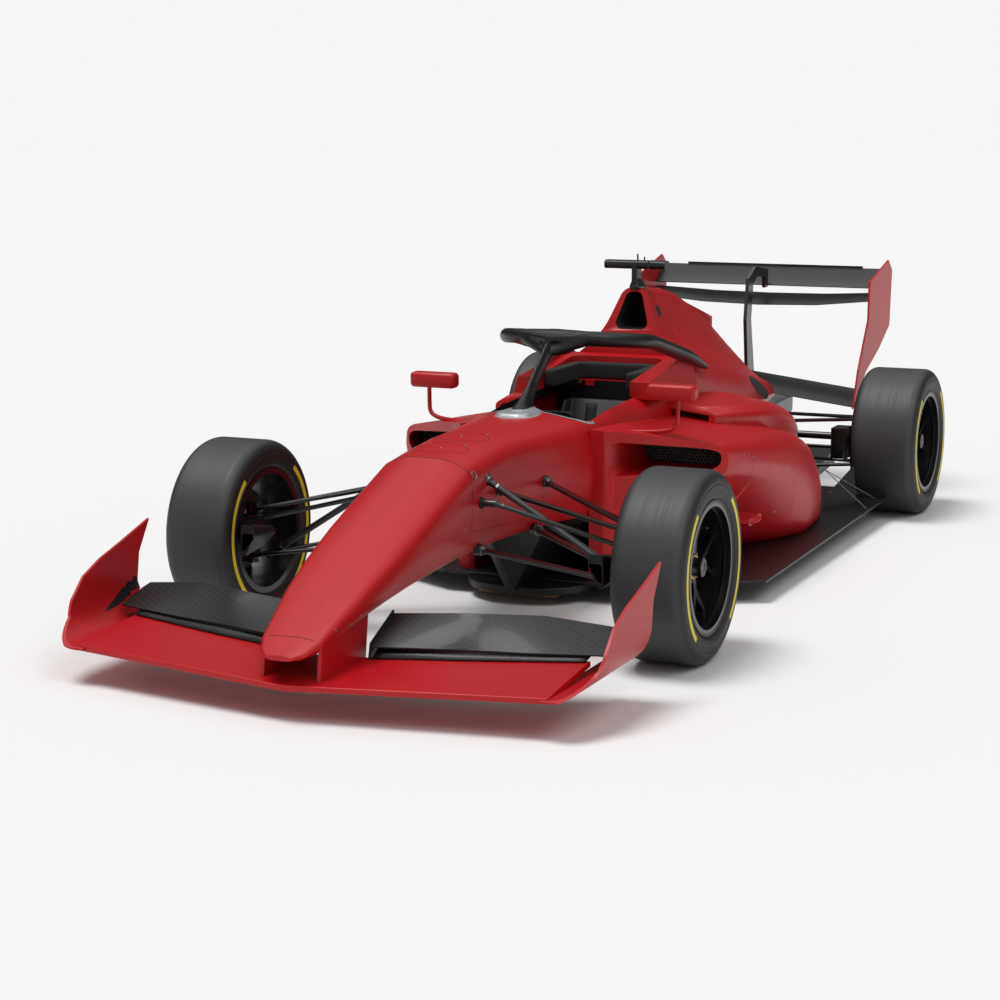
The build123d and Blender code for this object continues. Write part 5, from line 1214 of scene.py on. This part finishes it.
def make_harness():
    """The shoulder and lap webbing laid over the seat, with its round buckle."""
    webbing, buckle = bmesh.new(), bmesh.new()
    for _, side in SIDES:
        for start, end, steps, lift in STRAPS:
            route = [Vector(start).lerp(Vector(end), number / steps) for number in range(steps + 1)]
            strip(webbing, SEAT, from_above([(side * x, y) for x, y in route]), STRAP_WIDTH, lift)
    thickened(piece("harness_webbing", webbing, HEAD_FOAM, outward=False), STRAP_THICK, 1)
    turned(buckle, BUCKLE, *landing(SEAT, at(0, BUCKLE_Y, RAY_START), DOWN), 40)
    piece("harness_buckle", buckle, SCREW_STEEL)


def make_headrest():
    """The padded horseshoe, puffed from its solid."""
    shape = softened("headrest", merged("headrest"), 6, 0.7, 10)
    pad = piece("headrest_pad", shape, HEAD_FOAM, smooth=180)
    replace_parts(pad, "headrest")


# Studio

# Reflections see the room bright overhead and before the car, and dark behind it
BRIGHT_WAY = (0.45, -0.85, 0.1)
NEAR_FROM, NEAR_TO, DARK_SHINE, NEAR_SHINE = -0.35, 0.75, 0.07, 0.72
OVER_FROM, OVER_TO, OVER_SHINE = 0.4, 0.85, 1.15


def make_camera():
    """The camera at the photo's place."""
    data = bpy.data.cameras.new("camera")
    data.sensor_width = SENSOR_WIDTH
    data.lens = CAMERA_LENS
    data.clip_start, data.clip_end = CAMERA_SEES
    camera = bpy.data.objects.new("camera", data)
    bpy.context.scene.collection.objects.link(camera)
    turn, tilt = radians(CAMERA_AZIMUTH), radians(CAMERA_ELEVATION)
    back = Vector((sin(turn) * cos(tilt), -cos(turn) * cos(tilt), sin(tilt)))
    right = Vector((cos(turn), sin(turn), 0))
    upright = Matrix((right, back.cross(right), back)).transposed().to_4x4()
    roll = Matrix.Rotation(radians(CAMERA_ROLL), 4, "Z")
    camera.matrix_world = Matrix.Translation(CAMERA_PLACE) @ upright @ roll
    bpy.context.scene.camera = camera


def make_room():
    """A pale room that lights evenly."""
    world = bpy.data.worlds.new("studio")
    bpy.context.scene.world = world
    world.use_nodes = True
    tree = world.node_tree
    tree.nodes.clear()
    output = add(tree, "OutputWorld")
    way = add(tree, "TexCoord").outputs["Generated"]
    towards = add(tree, "VectorMath", {"operation": "DOT_PRODUCT"}, {0: way, 1: BRIGHT_WAY})
    near = add(tree, "MapRange", inputs={
        "Value": towards.outputs["Value"], "From Min": NEAR_FROM, "From Max": NEAR_TO,
        "To Min": DARK_SHINE, "To Max": NEAR_SHINE})
    level = add(tree, "SeparateXYZ", inputs={"Vector": way})
    over = add(tree, "MapRange", {"interpolation_type": "SMOOTHSTEP"}, {
        "Value": level.outputs["Z"], "From Min": OVER_FROM, "From Max": OVER_TO, "To Max": OVER_SHINE})
    lift = add(tree, "Math", {"operation": "MAXIMUM"}, {0: near.outputs[0], 1: over.outputs[0]})
    plain = add(tree, "Background", inputs={"Color": (1, 1, 1, 1), "Strength": ROOM_STRENGTH})
    glossy = add(tree, "Background", inputs={"Color": (1, 1, 1, 1), "Strength": lift.outputs[0]})
    paper = add(tree, "Background", inputs={"Color": linear(PAPER_COLOUR), "Strength": 1})
    rays = add(tree, "LightPath")
    shine = add(tree, "MixShader", inputs={
        "Fac": rays.outputs["Is Glossy Ray"], 1: plain.outputs[0], 2: glossy.outputs[0]})
    mix = add(tree, "MixShader", inputs={
        "Fac": rays.outputs["Is Camera Ray"], 1: shine.outputs[0], 2: paper.outputs[0]})
    tree.links.new(mix.outputs[0], output.inputs["Surface"])


def make_floor():
    """The pale matt paper under the car."""
    mesh = bpy.data.meshes.new("studio_floor")
    shape = bmesh.new()
    bmesh.ops.create_grid(shape, size=FLOOR_SIZE)
    shape.to_mesh(mesh)
    shape.free()
    floor = bpy.data.objects.new("studio_floor", mesh)
    bpy.context.scene.collection.objects.link(floor)
    material, _, _ = surface("studio_paper", PAPER_COLOUR, 1.0, specular=0)
    mesh.materials.append(material)


def make_lamps():
    """The two wide soft lamps overhead."""
    for number, (strength, spread, tilt_x, tilt_y) in enumerate(LAMPS):
        data = bpy.data.lights.new("overhead", "SUN")
        data.energy, data.angle = strength, radians(spread)
        lamp = bpy.data.objects.new("overhead_" + str(number), data)
        bpy.context.scene.collection.objects.link(lamp)
        lamp.rotation_euler = (radians(tilt_x), radians(tilt_y), 0)


make_skins()
make_halo()
make_tyres()
make_rim_details()
make_calipers()
make_arm_ends()
make_rack_boots()
make_rod_ends()
make_panel_gaps()
make_screws()
make_nose_latches()
make_pod_bumps()
make_mirrors()
make_screens()
make_camera_mast()
make_air_slots()
make_outlet()
make_wing_details()
make_floor_stays()
make_cockpit()
make_harness()
make_headrest()
make_tail_details()
make_camera()
make_room()
make_floor()
make_lamps()
bpy.context.scene.view_settings.view_transform = "Standard"
